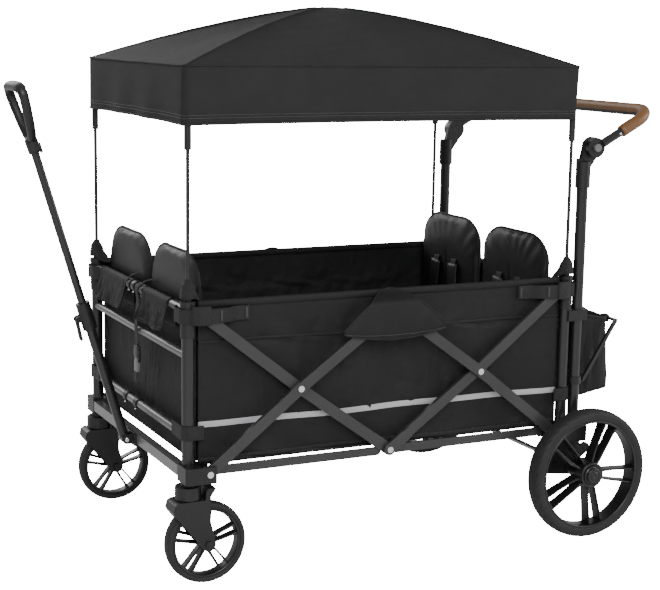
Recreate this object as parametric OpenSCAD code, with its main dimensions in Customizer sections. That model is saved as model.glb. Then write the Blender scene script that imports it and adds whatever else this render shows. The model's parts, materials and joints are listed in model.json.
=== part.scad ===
// Folding push-and-pull wagon for four children: scissor frame, soft tub, canopy, two handles.
// +X points to the push-handle end, +Z up, the ground is z = 0.

/* [Frame] */
// Distance between the front and rear post lines
post_span = 930; // [880:5:1000]
// Distance between the near and far post lines
frame_width = 630; // [560:5:700]
// Height of the lower arm pivots
pivot_z = 246; // [236:1:262]
// Height of the crossing of each pair of arms
crossing_z = 410; // [390:1:430]
// Distance of the crossings from the middle of the wagon
crossing_x = 222; // [205:1:235]
// Height of the bottom centre hinge
hub_z = 250; // [240:1:260]
// Outer diameter of the posts and push tubes
post_d = 26; // [22:1:28]
// Wall of the posts
post_wall = 2; // [1.5:0.5:3]
// Distance from a post line to the arm pivots beside it
pivot_inset = 35; // [33:1:45]
// Depth of the flat arms
arm_h = 24; // [20:1:26]
// Thickness of the flat arms
arm_t = 10; // [8:1:12]
// Diameter of the end rails
rail_d = 18; // [14:1:20]

/* [Wheels] */
// Diameter of the front wheels
front_wheel_d = 178; // [160:2:178]
// Width of the front tyres
front_wheel_w = 34; // [28:1:36]
// Distance from the swivel axis back to the front axle
caster_trail = 38; // [30:1:42]
// Diameter of the rear wheels
rear_wheel_d = 305; // [260:5:330]
// Width of the rear tyres
rear_wheel_w = 46; // [36:1:50]
// Diameter of the rear axle
axle_d = 12; // [10:1:14]

/* [Tub] */
// Height of the top edge of the tub
rim_z = 608; // [595:1:640]
// Thickness of the tub fabric
cloth_t = 3; // [2:0.5:4]
// Thickness of the floor mat
mat_t = 14; // [8:1:16]
// Height of the seat cushions' top
seat_z = 362; // [340:1:400]
// Depth of the seat cushions from the backrest
seat_depth = 222; // [180:2:230]
// Thickness of the seat cushions
seat_t = 32; // [24:1:36]
// Thickness of the backrests
back_t = 30; // [22:1:34]
// Height of the backrests' top
back_top_z = 706; // [660:2:740]

/* [Canopy] */
// Height of the canopy's lower hem
hem_z = 970; // [940:5:1000]
// Depth of the canopy's side valance
valance_h = 118; // [90:2:130]
// Rise of the roof above the valance
roof_rise = 125; // [90:5:140]
// Diameter of the canopy rods
rod_d = 8; // [6:1:9]
// Outer diameter of the canopy tubes that slide on the rods
canopy_tube_d = 15; // [12:1:17]

/* [Push handle] */
// Height of the push handle's hinges
push_z = 905; // [880:5:910]
// Angle of the push handle above the horizontal
push_rise = 28; // [10:1:40]
// Distance from the hinges to the grip bar
push_reach = 176; // [150:2:200]
// Radius of the grip bar's corners
push_corner_r = 52; // [40:1:60]
// Diameter of the leather grip
grip_d = 29; // [26:1:32]

/* [Pull handle] */
// Lean of the pull handle from the vertical
pull_lean = 16.7; // [14:0.1:30]
// Length of the pull handle from its pivot to the top of the grip
pull_len = 836; // [770:1:860]
// Length of the outer tube from the pivot
pull_outer_len = 300; // [285:1:330]
// Width of the pull handle's loop grip
pull_grip_w = 140; // [110:2:150]
// Outer diameter of the pull handle's lower tube
pull_outer_d = 22; // [20:1:24]

/* [Basket] */
// Reach of the basket behind the push tubes
basket_reach = 98; // [70:2:120]
// Height of the basket's wire rim
basket_top_z = 495; // [470:5:520]
// Height of the basket's floor
basket_floor_z = 302; // [290:2:350]

/* [Hidden] */
$fn = 48;

// Clearances: a running fit, a seat between pieces, and the gap between neighbouring layers
run = 0.08;
seat = 0.2;
layer_gap = 2;

// Post lines and arm pivots; x values are for the rear end, and the front end is mirrored
post_x = post_span / 2;
post_y = frame_width / 2;
post_r = post_d / 2;
pivot_x = post_x - pivot_inset;
corner_pivot_z = 2 * crossing_z - pivot_z;
top_hinge_z = 2 * crossing_z - hub_z;
pin_r = 4;
pin_head_r = 7;
pin_head_t = 2.5;

// Layers across the side of the frame, outwards from the tub's fabric
cloth_y = post_y + 1;
rail_t = 4;
lug_y = post_y + post_r - 6.5;
inner_y = post_y + post_r;
outer_y = inner_y + arm_t + layer_gap;
bracket_t = 3;
plate_y = outer_y + arm_t + layer_gap;
bracket_in_y = post_y - post_r - bracket_t;
rail_rear_y = cloth_y + cloth_t + 0.5;
rail_front_y = rail_rear_y + rail_t + 0.5;
rail_h = 20;
rail_end_x = 26;

// Ends of the frame
bracket_top_z = pivot_z + 16;
bracket_low_z = pivot_z - 20;
post_top_z = corner_pivot_z + 12;
sleeve_wall = 2.25;
sleeve_r = post_r + seat + sleeve_wall;
sleeve_low_z = corner_pivot_z - 42;
cap_z = post_top_z + 14;
cap_t = 9;
top_bar_z = cap_z - 12;
mid_rail_z = crossing_z + 83;
low_rail_z = pivot_z + 74;
panel_x = post_x - sleeve_r - 0.5 - cloth_t;
inner_tube_r = post_r - post_wall - run;
inner_tube_low_z = pivot_z + 54;
mat_z = pivot_z + rail_h / 2 + seat;

// Seats
seat_w = post_y - 16;
seat_gap = 8;
piping_r = 3;
back_x = panel_x - 0.4;
seat_hinge_x = back_x - back_t - piping_r - 0.4;

// Wheels
front_r = front_wheel_d / 2;
rear_r = rear_wheel_d / 2;
caster_axle_x = post_x - caster_trail;
fork_gap = front_wheel_w / 2 + 3;
fork_leg_t = 7;
caster_bolt_r = 5;
kingpin_r = 6;
cup_r = 28;
crown_z = front_wheel_d + 9;
rear_axle_x = post_x + 32;
rear_wheel_y = post_y + 70;
rear_hub_w = rear_wheel_w + 10;
axle_r = axle_d / 2;
brake_x = rear_axle_x + 34;
brake_z = rear_r + 42;
brake_bar_r = 5;

// Push handle
tube_x = post_x + 35;
push_x = post_x + 59;
disc_r = 24;
disc_t = 13;
socket_y = post_y - disc_t + 2;
handle_disc_y = post_y + 3;
push_tube_r = 10;
push_arm_y = handle_disc_y + push_tube_r + 0.5;
socket_low_z = push_z - 92;
button_r = 9;
button_h = 12;

// Pull handle
pull_x = post_x + 35;
pull_z = pivot_z - 3;
pull_boss_r = pull_outer_d / 2;
pull_lug_y = pull_outer_d / 2 + 1.5;
pull_pin_y = pull_lug_y + 5.5;
pull_inner_r = pull_outer_d / 2 - 2;
pull_grip_low = 676;
clamp_low = pull_outer_len - 30;
clamp_top = pull_outer_len + 32;
clamp_r = pull_outer_d / 2 + 5;

// Canopy
canopy_wall = 4;
canopy_x = post_x + canopy_tube_d / 2 + canopy_wall + 0.3;
canopy_y = post_y + canopy_tube_d / 2 + canopy_wall + 0.3;
roof_z = hem_z + valance_h;
ferrule_low_z = hem_z - 50;
ferrule_top_z = roof_z - 6;
rod_top_z = ferrule_low_z + 38;

// Basket
basket_pivot_z = pivot_z + 114;
basket_x = tube_x + post_r + 3;
basket_hinge_x = tube_x + post_r + 12;
basket_rim_x = tube_x + post_r + basket_reach;
wire_r = 4;
wire_pin_r = 2.5;
wire_y = post_y + 2;

// The frame's origin is on the ground under the middle of the whole wagon, with both handles
grip_t = 20;
front_reach = pull_x + pull_len * sin(pull_lean) + grip_t / 2 * cos(pull_lean);
rear_reach = push_x + push_reach * cos(push_rise) + grip_d / 2;
origin_shift = (front_reach - rear_reach) / 2;

// Moves the children from the frame's middle to the origin of the whole wagon
module placed() {
    translate([origin_shift, 0, 0]) children();
}

// Draws the children on the far side (+Y) and mirrored on the near side
module both_sides() {
    children();
    mirror([0, 1, 0]) children();
}

// Draws the children, which are modelled for the rear end (+X), at the front end
module at_front() {
    mirror([1, 0, 0]) children();
}

// Plate of the 2D outline (x, z) from y to y + t
module plate(y, t) {
    translate([0, y + t, 0]) rotate([90, 0, 0]) linear_extrude(t) children();
}

// Round bar along Y from y1 to y2 at (x, z)
module y_rod(x, z, r, y1, y2) {
    translate([x, y1, z]) rotate([-90, 0, 0]) cylinder(r = r, h = y2 - y1);
}

// 2D bar with round ends from p to q
module link2d(p, q, w) {
    d = q - p;
    n = [-d[1], d[0]] / norm(d) * w / 2;
    translate(p) circle(d = w);
    translate(q) circle(d = w);
    polygon([p + n, q + n, q - n, p - n]);
}

// Bolt along Y with a domed head on the outside
module bolt(x, z, y_in, y_out) {
    y_rod(x, z, pin_r, y_in, y_out);
    y_rod(x, z, pin_head_r, y_out, y_out + pin_head_t);
}

// Points of the scissor at the rear end
pivot_p = [pivot_x, pivot_z];
cross_p = [crossing_x, crossing_z];
corner_p = [pivot_x, corner_pivot_z];
hub_p = [0, hub_z];
top_p = [0, top_hinge_z];

// Where a flat arm stops before a hinge tab, a share of the way from the hinge to the crossing
function arm_end(hinge) = hinge + (cross_p - hinge) * 44 / norm(cross_p - hinge);

// Inner arm of the rear end: from the bottom centre hinge to the top corner
module inner_arm(tab_y, tab_t) {
    end = arm_end(hub_p);
    difference() {
        union() {
            plate(inner_y, arm_t) {
                link2d(end, cross_p, arm_h);
                link2d(cross_p, corner_p, arm_h);
            }
            plate(tab_y, tab_t) link2d(hub_p, end, arm_h * 1.1);
            plate(min(tab_y, inner_y), max(tab_y + tab_t, inner_y + arm_t) - min(tab_y, inner_y))
                link2d(end, end + (cross_p - end) * 0.05, arm_h);
        }
        y_rod(hub_p[0], hub_p[1], pin_r + run, inner_y - 30, plate_y);
        y_rod(cross_p[0], cross_p[1], pin_r + run, inner_y - 30, plate_y);
        y_rod(corner_p[0], corner_p[1], pin_r + run, inner_y - 30, plate_y);
    }
}

// Outer arm of the rear end: from the bottom bracket to the top centre hinge
module outer_arm(tab_y, tab_t, top_bore_r) {
    end = arm_end(top_p);
    difference() {
        union() {
            plate(outer_y, arm_t) {
                link2d(end, cross_p, arm_h);
                link2d(cross_p, pivot_p, arm_h);
            }
            plate(tab_y, tab_t) link2d(top_p, end, arm_h * 1.1);
        }
        y_rod(top_p[0], top_p[1], top_bore_r, inner_y, plate_y);
        y_rod(pivot_p[0], pivot_p[1], pin_r + run, inner_y, plate_y);
    }
}

hub_tab_t = 4.5;

module arms_rear_inner() {
    color("dimgray") both_sides() inner_arm(inner_y + hub_tab_t + 1, 7.5);
}

module arms_front_inner() {
    color("dimgray") both_sides() at_front() inner_arm(inner_y, hub_tab_t);
}

module arms_rear_outer() {
    color("dimgray") both_sides() outer_arm(outer_y + hub_tab_t + 1, hub_tab_t, pin_r + 0.5);
}

module arms_front_outer() {
    color("dimgray") both_sides() at_front() outer_arm(outer_y, hub_tab_t, pin_r + run);
}

// Rivet through a crossing, held in the outer arm's own face
module crossing_rivet() {
    y_rod(crossing_x, crossing_z, pin_r, inner_y - 1, outer_y - seat);
    y_rod(crossing_x, crossing_z, pin_head_r, inner_y - 1 - pin_head_t, inner_y - 1);
    y_rod(crossing_x, crossing_z, pin_head_r, outer_y + arm_t + seat, outer_y + arm_t + pin_head_t);
}

module rivets_front() {
    color("silver") both_sides() {
        at_front() crossing_rivet();
        bolt(0, top_hinge_z, outer_y - 1.5, outer_y + arm_t + seat);
    }
}

module rivets_rear() {
    color("silver") both_sides() crossing_rivet();
}

module bottom_hinge_bolts() {
    color("silver") both_sides() {
        bolt(0, hub_z, inner_y - 1, inner_y + hub_tab_t + 9);
        y_rod(0, hub_z, pin_head_r, inner_y - 1 - pin_head_t, inner_y - 1);
    }
}

// Thin side rail of the rear end, which folds up towards the middle
module floor_rail(y) {
    difference() {
        plate(y, rail_t) link2d(pivot_p, [rail_end_x, pivot_z], rail_h);
        y_rod(pivot_p[0], pivot_p[1], pin_r + run, y - 1, y + rail_t + 1);
    }
}

module floor_rails_rear() {
    color("dimgray") both_sides() floor_rail(rail_rear_y);
}

module floor_rails_front() {
    color("dimgray") both_sides() at_front() floor_rail(rail_front_y);
}

// Post of the rear end
module post() {
    translate([post_x, post_y, bracket_low_z + bracket_t + seat])
        difference() {
            h = post_top_z - bracket_low_z - bracket_t - seat;
            cylinder(r = post_r, h = h);
            translate([0, 0, -1]) cylinder(r = post_r - post_wall, h = h + 2);
        }
}

module posts_rear() {
    color("black") both_sides() post();
}

module posts_front() {
    color("black") both_sides() at_front() post();
}

// Channel bracket that holds a post (and at the rear a push tube) and the arm pivot
module bracket(outer_x, tubes) {
    inner_x = pivot_x - 15;
    corner_r = 8;
    z0 = bracket_low_z;
    h = bracket_top_z - z0;
    y0 = bracket_in_y;
    y1 = plate_y + bracket_t;
    difference() {
        translate([0, 0, z0]) linear_extrude(h) {
            translate([inner_x, y0]) square([outer_x - inner_x - corner_r, y1 - y0]);
            translate([inner_x, y0]) square([outer_x - inner_x, y1 - y0 - corner_r]);
            translate([outer_x - corner_r, y1 - corner_r]) circle(corner_r);
        }
        translate([inner_x - 1, y0 + bracket_t, z0 - 1])
            cube([pivot_x + 16 - inner_x + 1, plate_y - y0 - bracket_t, h + 2]);
        for (x = tubes)
            translate([x, post_y, z0 + bracket_t]) cylinder(r = post_r + run, h = h);
        y_rod(pivot_x, pivot_z, pin_r + run, y0 - 1, y1 + 1);
    }
}

// Swivel socket under a front bracket
module caster_cup() {
    top = bracket_low_z - seat;
    difference() {
        union() {
            translate([post_x, post_y, crown_z + 2]) cylinder(r = cup_r, h = 27);
            translate([post_x, post_y, crown_z + 29]) cylinder(r = 17, h = top - crown_z - 29);
        }
        translate([post_x, post_y, crown_z]) cylinder(r = kingpin_r + run, h = top - crown_z - 3);
    }
}

module caster_brackets() {
    color("black") both_sides() at_front() {
        bracket(post_x + post_r + 5, [post_x]);
        caster_cup();
    }
}

// Fork plate and axle boss that carries a rear wheel
module wheel_mount() {
    y0 = post_y + 6;
    t = 6;
    top = bracket_low_z - seat;
    difference() {
        union() {
            plate(y0, t) polygon([
                [pivot_x - 20, top], [rear_axle_x + 18, top], [rear_axle_x + 20, rear_r],
                [rear_axle_x, rear_r - 20], [pivot_x - 24, rear_r - 8]]);
            plate(y0, t) link2d([rear_axle_x, rear_r + 20], [brake_x, brake_z], 26);
            y_rod(rear_axle_x, rear_r, 20, y0, rear_wheel_y - rear_hub_w / 2 - 1);
            translate([pivot_x - 20, y0, top - 6]) cube([rear_axle_x + 38 - pivot_x, 32, 6]);
        }
        y_rod(rear_axle_x, rear_r, axle_r + 0.05, y0 - 1, rear_wheel_y);
        y_rod(brake_x, brake_z, brake_bar_r + run, y0 - 1, y0 + t + 1);
    }
}

module wheel_brackets() {
    color("black") both_sides() {
        bracket(tube_x + post_r + 5, [post_x, tube_x]);
        wheel_mount();
    }
}

// Cross rail between the posts of the rear end, coped to their round walls
module cross_rail(z, end_r) {
    difference() {
        y_rod(post_x, z, rail_d / 2, -post_y, post_y);
        both_sides() translate([post_x, post_y, z - rail_d])
            cylinder(r = end_r + run, h = 2 * rail_d);
    }
}

module rails_rear() {
    color("gray") {
        cross_rail(mid_rail_z, post_r);
        cross_rail(low_rail_z, post_r);
    }
}

handle_bar = [20, 24];

module rails_front() {
    color("gray") {
        at_front() cross_rail(mid_rail_z, post_r);
        at_front() cross_rail(low_rail_z, post_r);
        translate([-post_x - 17, -(bracket_in_y - seat), pivot_z - handle_bar[1] / 2])
            cube([handle_bar[0], 2 * (bracket_in_y - seat), handle_bar[1]]);
    }
}

// Fabric end panel of the tub
module end_panel() {
    low = bracket_top_z + seat;
    translate([panel_x, -cloth_y + seat, low])
        cube([cloth_t, 2 * (cloth_y - seat), rim_z - 16 - low]);
}

module front_panel() {
    color("black") at_front() end_panel();
}

module rear_panel() {
    color("black") end_panel();
}

// Side wall of the tub
module side_fabric() {
    translate([-panel_x + 1, cloth_y, mat_z])
        cube([2 * panel_x - 2, cloth_t, rim_z - mat_z]);
}

module side_fabric_far() {
    color("black") side_fabric();
}

module side_fabric_near() {
    color("black") mirror([0, 1, 0]) side_fabric();
}

module floor_mat() {
    wide_x = pivot_x - 17;
    wide_y = cloth_y - 0.3;
    long_x = panel_x - 1;
    long_y = bracket_in_y - 1;
    color("black") {
        translate([-wide_x, -wide_y, mat_z]) cube([2 * wide_x, 2 * wide_y, mat_t]);
        translate([-long_x, -long_y, mat_z]) cube([2 * long_x, 2 * long_y, mat_t]);
    }
}

// Outline of a backrest, seen from the front: straight sides and a round top
module back_outline(y0, y1, z0, z1, r) {
    translate([y0, z0]) square([y1 - y0, z1 - z0 - r]);
    translate([y0 + r, z0]) square([y1 - y0 - 2 * r, z1 - z0]);
    for (y = [y0 + r, y1 - r]) translate([y, z1 - r]) circle(r);
}

module seat_backs() {
    both_sides() translate([back_x - back_t, 0, 0])
        rotate([90, 0, 90]) linear_extrude(back_t)
            back_outline(seat_gap / 2, seat_w, seat_z + 4, back_top_z, 104);
}

module seat_backs_rear() {
    color("black") seat_backs();
}

module seat_backs_front() {
    color("black") at_front() seat_backs();
}

// Seat cushions with the sewn hinge at their top rear edge
module seat_bases() {
    both_sides() {
        translate([seat_hinge_x - seat_depth, seat_gap / 2, seat_z - seat_t])
            cube([seat_depth, seat_w - seat_gap / 2, seat_t]);
        y_rod(seat_hinge_x, seat_z + 2, piping_r, seat_gap / 2, seat_w);
    }
}

module seat_bases_rear() {
    color("black") seat_bases();
}

module seat_bases_front() {
    color("black") at_front() seat_bases();
}

// Bolts of the lower arm pivots
module pivot_bolt() {
    bolt(pivot_x, pivot_z, bracket_in_y - 2, plate_y + bracket_t + seat);
}

module pivot_bolts_rear() {
    color("silver") both_sides() pivot_bolt();
}

module pivot_bolts_front() {
    color("silver") {
        both_sides() at_front() pivot_bolt();
        y_rod(-pull_x, pull_z, pin_r, -pull_pin_y, pull_pin_y);
        y_rod(-pull_x, pull_z, pin_head_r, pull_pin_y + seat, pull_pin_y + 3);
    }
}

// Sleeve and cap at the top of a post, with the lug for the inner arm
module corner() {
    difference() {
        union() {
            translate([post_x, post_y, sleeve_low_z]) cylinder(r = sleeve_r, h = cap_z - sleeve_low_z);
            translate([post_x, post_y, cap_z]) cylinder(r = sleeve_r + 1, h = cap_t);
            translate([post_x, post_y, cap_z + cap_t]) cylinder(r = rod_d / 2 + 4, h = 14);
            translate([pivot_x - 9, lug_y, corner_pivot_z - 12])
                cube([post_x - pivot_x + 9, inner_y - 1 - lug_y, 24]);
        }
        translate([post_x, post_y, sleeve_low_z - 1])
            cylinder(r = post_r + seat, h = cap_z - sleeve_low_z - 3);
        translate([post_x, post_y, cap_z - 5]) cylinder(r = rod_d / 2 + run, h = 40);
        y_rod(pivot_x, corner_pivot_z, pin_r + run, lug_y - 1, inner_y);
    }
}

// Pin from the corner's lug through the inner arm
module corner_pin() {
    bolt(pivot_x, corner_pivot_z, lug_y + 0.5, inner_y + arm_t + seat);
}

module corners_rear() {
    color("black") both_sides() {
        corner();
        corner_pin();
    }
}

module corners_front() {
    color("black") both_sides() at_front() {
        corner();
        corner_pin();
    }
}

// Telescopic tube inside the post and the canopy rod above the cap
module corner_tubes() {
    both_sides() {
        translate([post_x, post_y, inner_tube_low_z]) difference() {
            cylinder(r = inner_tube_r, h = cap_z - 4 - seat - inner_tube_low_z);
            translate([0, 0, -1])
                cylinder(r = inner_tube_r - 1.5, h = cap_z - inner_tube_low_z);
        }
        translate([post_x, post_y, cap_z - 4 + seat])
            cylinder(r = rod_d / 2, h = rod_top_z - cap_z + 4);
    }
    cross_rail(top_bar_z, sleeve_r);
}

module tubes_rear() {
    color("black") corner_tubes();
}

module tubes_front() {
    color("black") at_front() corner_tubes();
}

// Strap with a buckle that hangs over the front mid rail
module front_strap() {
    strap_y = -18;
    x = -post_x - rail_d / 2 - 2.3;
    color("black") {
        translate([x, strap_y - 12, mid_rail_z - 50]) cube([2, 24, top_bar_z - mid_rail_z + 38]);
        translate([x - 5, strap_y - 14, mid_rail_z - 112]) cube([9, 28, 62]);
    }
}

// Caster fork of the far rear corner: side outline, crown and kingpin
module fork_outline() {
    x0 = post_x;
    z = crown_z;
    translate([caster_axle_x, front_r]) circle(15);
    polygon([[x0 + 42, z - 19], [x0 + 38, z - 5], [x0 + 30, z], [x0 - 30, z], [x0 - 31, z + 18],
        [x0 - 36, z + 25], [x0 - 54, z + 24], [x0 - 42, z + 7], [x0 - 40, z - 40],
        [caster_axle_x - 15, front_r + 4], [caster_axle_x + 12, front_r - 9],
        [x0 + 38, z - 27]]);
}

module fork() {
    difference() {
        union() {
            for (y = [post_y - fork_gap - fork_leg_t, post_y + fork_gap])
                plate(y, fork_leg_t) fork_outline();
            difference() {
                plate(post_y - fork_gap - 1, 2 * fork_gap + 2) fork_outline();
                y_rod(caster_axle_x, front_r, front_r + 4, post_y - 60, post_y + 60);
            }
            translate([post_x, post_y, crown_z - 1]) cylinder(r = kingpin_r, h = 30);
        }
        y_rod(caster_axle_x, front_r, caster_bolt_r + 0.05, post_y - 60, post_y + 60);
        translate([post_x, post_y, crown_z]) difference() {
            cylinder(r = cup_r + 2, h = 60);
            translate([0, 0, -1]) cylinder(r = kingpin_r, h = 62);
        }
    }
    y_rod(caster_axle_x, front_r, caster_bolt_r,
        post_y - fork_gap - fork_leg_t - 3, post_y + fork_gap + fork_leg_t + 3);
    for (s = [-1, 1]) {
        y = post_y + s * (fork_gap + fork_leg_t + 2);
        y_rod(caster_axle_x, front_r, 8, y - 1.8, y + 1.8);
    }
}

module caster_fork_far() {
    color("black") at_front() fork();
}

module caster_fork_near() {
    color("black") at_front() mirror([0, 1, 0]) fork();
}

// Tyre: a rounded ring around the rim seat radius, turned about Y
module tyre(r, seat_r, w) {
    round_r = min(w / 2 - 1, (r - seat_r) * 0.5);
    rotate([90, 0, 0]) rotate_extrude($fn = 96) {
        translate([seat_r, -w / 2]) square([r - seat_r - round_r, w]);
        translate([seat_r, -w / 2 + round_r]) square([r - seat_r, w - 2 * round_r]);
        for (s = [-1, 1]) translate([r - round_r, s * (w / 2 - round_r)]) circle(round_r);
    }
}

// Rim: outer band, hub and five pairs of splayed spokes
module rim(r, band, w, hub_r, hub_w, bore_r, turn) {
    rotate([90, 0, 0]) difference() {
        union() {
            translate([0, 0, -w / 2]) difference() {
                cylinder(r = r, h = w, $fn = 96);
                translate([0, 0, -1]) cylinder(r = r - band, h = w + 2, $fn = 96);
            }
            translate([0, 0, -hub_w / 2]) cylinder(r = hub_r, h = hub_w);
            for (k = [0:4]) rotate(72 * k + turn) for (s = [-1, 1])
                translate([0, 0, -w * 0.36]) linear_extrude(w * 0.72) polygon([
                    [hub_r * 0.6, s * hub_r * 0.12], [r - band / 2, s * r * 0.075],
                    [r - band / 2, s * r * 0.14], [hub_r * 0.6, s * hub_r * 0.45]]);
        }
        translate([0, 0, -hub_w]) cylinder(r = bore_r, h = 2 * hub_w);
    }
}

front_seat_r = front_r - 13;
rear_seat_r = rear_r - 24;

module front_tyre_far() {
    color("black") translate([-caster_axle_x, post_y, front_r])
        tyre(front_r, front_seat_r + seat, front_wheel_w);
}

module front_tyre_near() {
    color("black") mirror([0, 1, 0]) translate([-caster_axle_x, post_y, front_r])
        tyre(front_r, front_seat_r + seat, front_wheel_w);
}

module front_rim_far() {
    color("black") translate([-caster_axle_x, post_y, front_r])
        rim(front_seat_r, 6, front_wheel_w - 4, 16, front_wheel_w + 4, caster_bolt_r + run, 18);
}

module front_rim_near() {
    color("black") mirror([0, 1, 0]) translate([-caster_axle_x, post_y, front_r])
        rim(front_seat_r, 6, front_wheel_w - 4, 16, front_wheel_w + 4, caster_bolt_r + run, 18);
}

module rear_tyre_far() {
    color("black") translate([rear_axle_x, rear_wheel_y, rear_r])
        tyre(rear_r, rear_seat_r + seat, rear_wheel_w);
}

module rear_tyre_near() {
    color("black") mirror([0, 1, 0]) translate([rear_axle_x, rear_wheel_y, rear_r])
        tyre(rear_r, rear_seat_r + seat, rear_wheel_w);
}

module rear_rim_far() {
    color("black") translate([rear_axle_x, rear_wheel_y, rear_r])
        rim(rear_seat_r, 7, rear_wheel_w - 4, 30, rear_hub_w, axle_r + run, -8);
}

module rear_rim_near() {
    color("black") mirror([0, 1, 0]) translate([rear_axle_x, rear_wheel_y, rear_r])
        rim(rear_seat_r, 7, rear_wheel_w - 4, 30, rear_hub_w, axle_r + run, -8);
}

module rear_axle() {
    half = rear_wheel_y + rear_hub_w / 2 + 0.5;
    color("silver") {
        y_rod(rear_axle_x, rear_r, axle_r, -half, half);
        both_sides() y_rod(rear_axle_x, rear_r, 17, half, half + 5);
    }
}

module push_tubes() {
    top = socket_low_z + 60;
    low = bracket_low_z + bracket_t + seat;
    color("black") both_sides() translate([tube_x, post_y, low]) difference() {
        cylinder(r = post_r, h = top - low);
        translate([0, 0, -1]) cylinder(r = post_r - post_wall, h = top - low + 2);
    }
}

// Moulded elbow on a push tube, with the inner disc of the handle's hinge
module push_socket() {
    socket_r = post_r + 4;
    difference() {
        union() {
            translate([tube_x, post_y, socket_low_z]) cylinder(r = socket_r, h = 66);
            plate(socket_y, disc_t) {
                translate([push_x, push_z]) circle(disc_r);
                polygon([[tube_x - 12, socket_low_z + 40], [tube_x + 14, socket_low_z + 40],
                    [push_x + disc_r - 4, push_z - 12], [push_x - disc_r + 1, push_z + 4]]);
            }
        }
        translate([tube_x, post_y, socket_low_z - 1]) cylinder(r = post_r + run, h = 61.2);
        y_rod(push_x, push_z, 6 + run, socket_y - 1, post_y + 20);
        translate([push_x - 60, handle_disc_y - 1, push_z - 32]) cube([120, 60, 80]);
    }
}

// Clip that ties a push tube to the sleeve-free stretch of the rear post
module tube_clip() {
    z = mid_rail_z + rail_d / 2 + 2;
    difference() {
        translate([post_x + 1, post_y - 17, z]) cube([tube_x + 17 - post_x, 34, 25]);
        translate([post_x, post_y, z - 1]) cylinder(r = post_r + run, h = 27);
        translate([tube_x, post_y, z - 1]) cylinder(r = post_r + run, h = 27);
    }
}

// Clip on a push tube with the ear that the basket's wire turns in
module basket_clip() {
    z = basket_pivot_z - 9;
    ear_y = wire_y - 1 - wire_r - 0.3;
    difference() {
        union() {
            translate([tube_x, post_y, z]) cylinder(r = post_r + 3, h = 18);
            translate([tube_x, ear_y - 12, z]) cube([basket_hinge_x + 6 - tube_x, 12, 18]);
        }
        translate([tube_x, post_y, z - 1]) cylinder(r = post_r + run, h = 20);
        y_rod(basket_hinge_x, basket_pivot_z, wire_pin_r + run, ear_y - 13, ear_y + 1);
    }
}

module push_sockets() {
    color("black") both_sides() {
        push_socket();
        tube_clip();
        basket_clip();
    }
}

// Places the children, drawn with x along the handle's arm, at the push handle's hinge
module push_frame() {
    translate([push_x, 0, push_z]) rotate([0, -push_rise, 0]) children();
}

// U-shaped tube: two arms from x0, round corners and the cross bar
module u_tube(r, x0) {
    cy = push_arm_y - push_corner_r;
    cx = push_reach - push_corner_r;
    for (s = [-1, 1]) {
        translate([x0, s * push_arm_y, 0]) rotate([0, 90, 0]) cylinder(r = r, h = cx - x0);
        translate([cx, s * cy, 0]) rotate([0, 0, s > 0 ? 0 : -90])
            rotate_extrude(angle = 90) translate([push_corner_r, 0]) circle(r);
    }
    translate([push_reach, -cy, 0]) rotate([-90, 0, 0]) cylinder(r = r, h = 2 * cy);
}

module push_handle_bar() {
    color("black") push_frame() {
        difference() {
            union() {
                u_tube(push_tube_r, disc_r - 6);
                both_sides() y_rod(0, 0, disc_r - 1, handle_disc_y, handle_disc_y + disc_t);
            }
            both_sides() y_rod(0, 0, button_r + run, handle_disc_y + 4, handle_disc_y + 40);
        }
        both_sides() y_rod(0, 0, 6, socket_y, handle_disc_y + 1);
    }
}

module push_grip() {
    color("saddlebrown") push_frame() difference() {
        u_tube(grip_d / 2, 76);
        u_tube(push_tube_r + run, 60);
    }
}

module push_button() {
    push_frame() y_rod(0, 0, button_r, handle_disc_y + 8, handle_disc_y + 8 + button_h);
}

module push_button_far() {
    color("dimgray") push_button();
}

module push_button_near() {
    color("dimgray") mirror([0, 1, 0]) push_button();
}

// Canopy roof: four bowed slopes over a straight valance, open underneath
roof_steps = 6;
function roof_scale(t) = 1 - t;
function roof_height(t) = roof_rise * (1 - pow(1 - t, 1.5));
function ring(a, b, z) = [[-a, -b, z], [a, -b, z], [a, b, z], [-a, b, z]];
function roof_points(inset) = [
    for (k = [0:roof_steps - 1]) let (t = k / roof_steps)
        each ring((canopy_x - inset) * roof_scale(t), (canopy_y - inset) * roof_scale(t),
            roof_z + roof_height(t) - inset * (k > 0 ? 1 : 0)),
    [0, 0, roof_z + roof_rise - inset]];
roof_ring_faces = [
    for (k = [0:roof_steps - 2]) for (i = [0:3])
        let (a = 4 * k + i, b = 4 * k + (i + 1) % 4) each [[a, a + 4, b], [b, a + 4, b + 4]]];
roof_tip_faces = [
    for (i = [0:3]) [4 * (roof_steps - 1) + i, 4 * roof_steps, 4 * (roof_steps - 1) + (i + 1) % 4]];

module roof_solid(inset) {
    polyhedron(points = roof_points(inset),
        faces = concat([[0, 1, 2, 3]], roof_ring_faces, roof_tip_faces));
}

module canopy_top() {
    wall = canopy_wall;
    color("black") {
        difference() {
            union() {
                translate([-canopy_x, -canopy_y, hem_z]) cube([2 * canopy_x, 2 * canopy_y, valance_h]);
                roof_solid(0);
            }
            translate([-canopy_x + wall, -canopy_y + wall, hem_z - 1])
                cube([2 * (canopy_x - wall), 2 * (canopy_y - wall), valance_h + 1.01]);
            roof_solid(wall);
        }
    }
}

// Tube under a canopy corner that slides on the canopy rod
module canopy_tube() {
    difference() {
        translate([post_x, post_y, ferrule_low_z])
            cylinder(r = canopy_tube_d / 2, h = ferrule_top_z - ferrule_low_z);
        translate([post_x, post_y, ferrule_low_z - 1])
            cylinder(r = rod_d / 2 + seat, h = ferrule_top_z - ferrule_low_z - 4);
    }
}

module canopy_tubes_rear() {
    color("black") both_sides() canopy_tube();
}

module canopy_tubes_front() {
    color("black") both_sides() at_front() canopy_tube();
}

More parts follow.
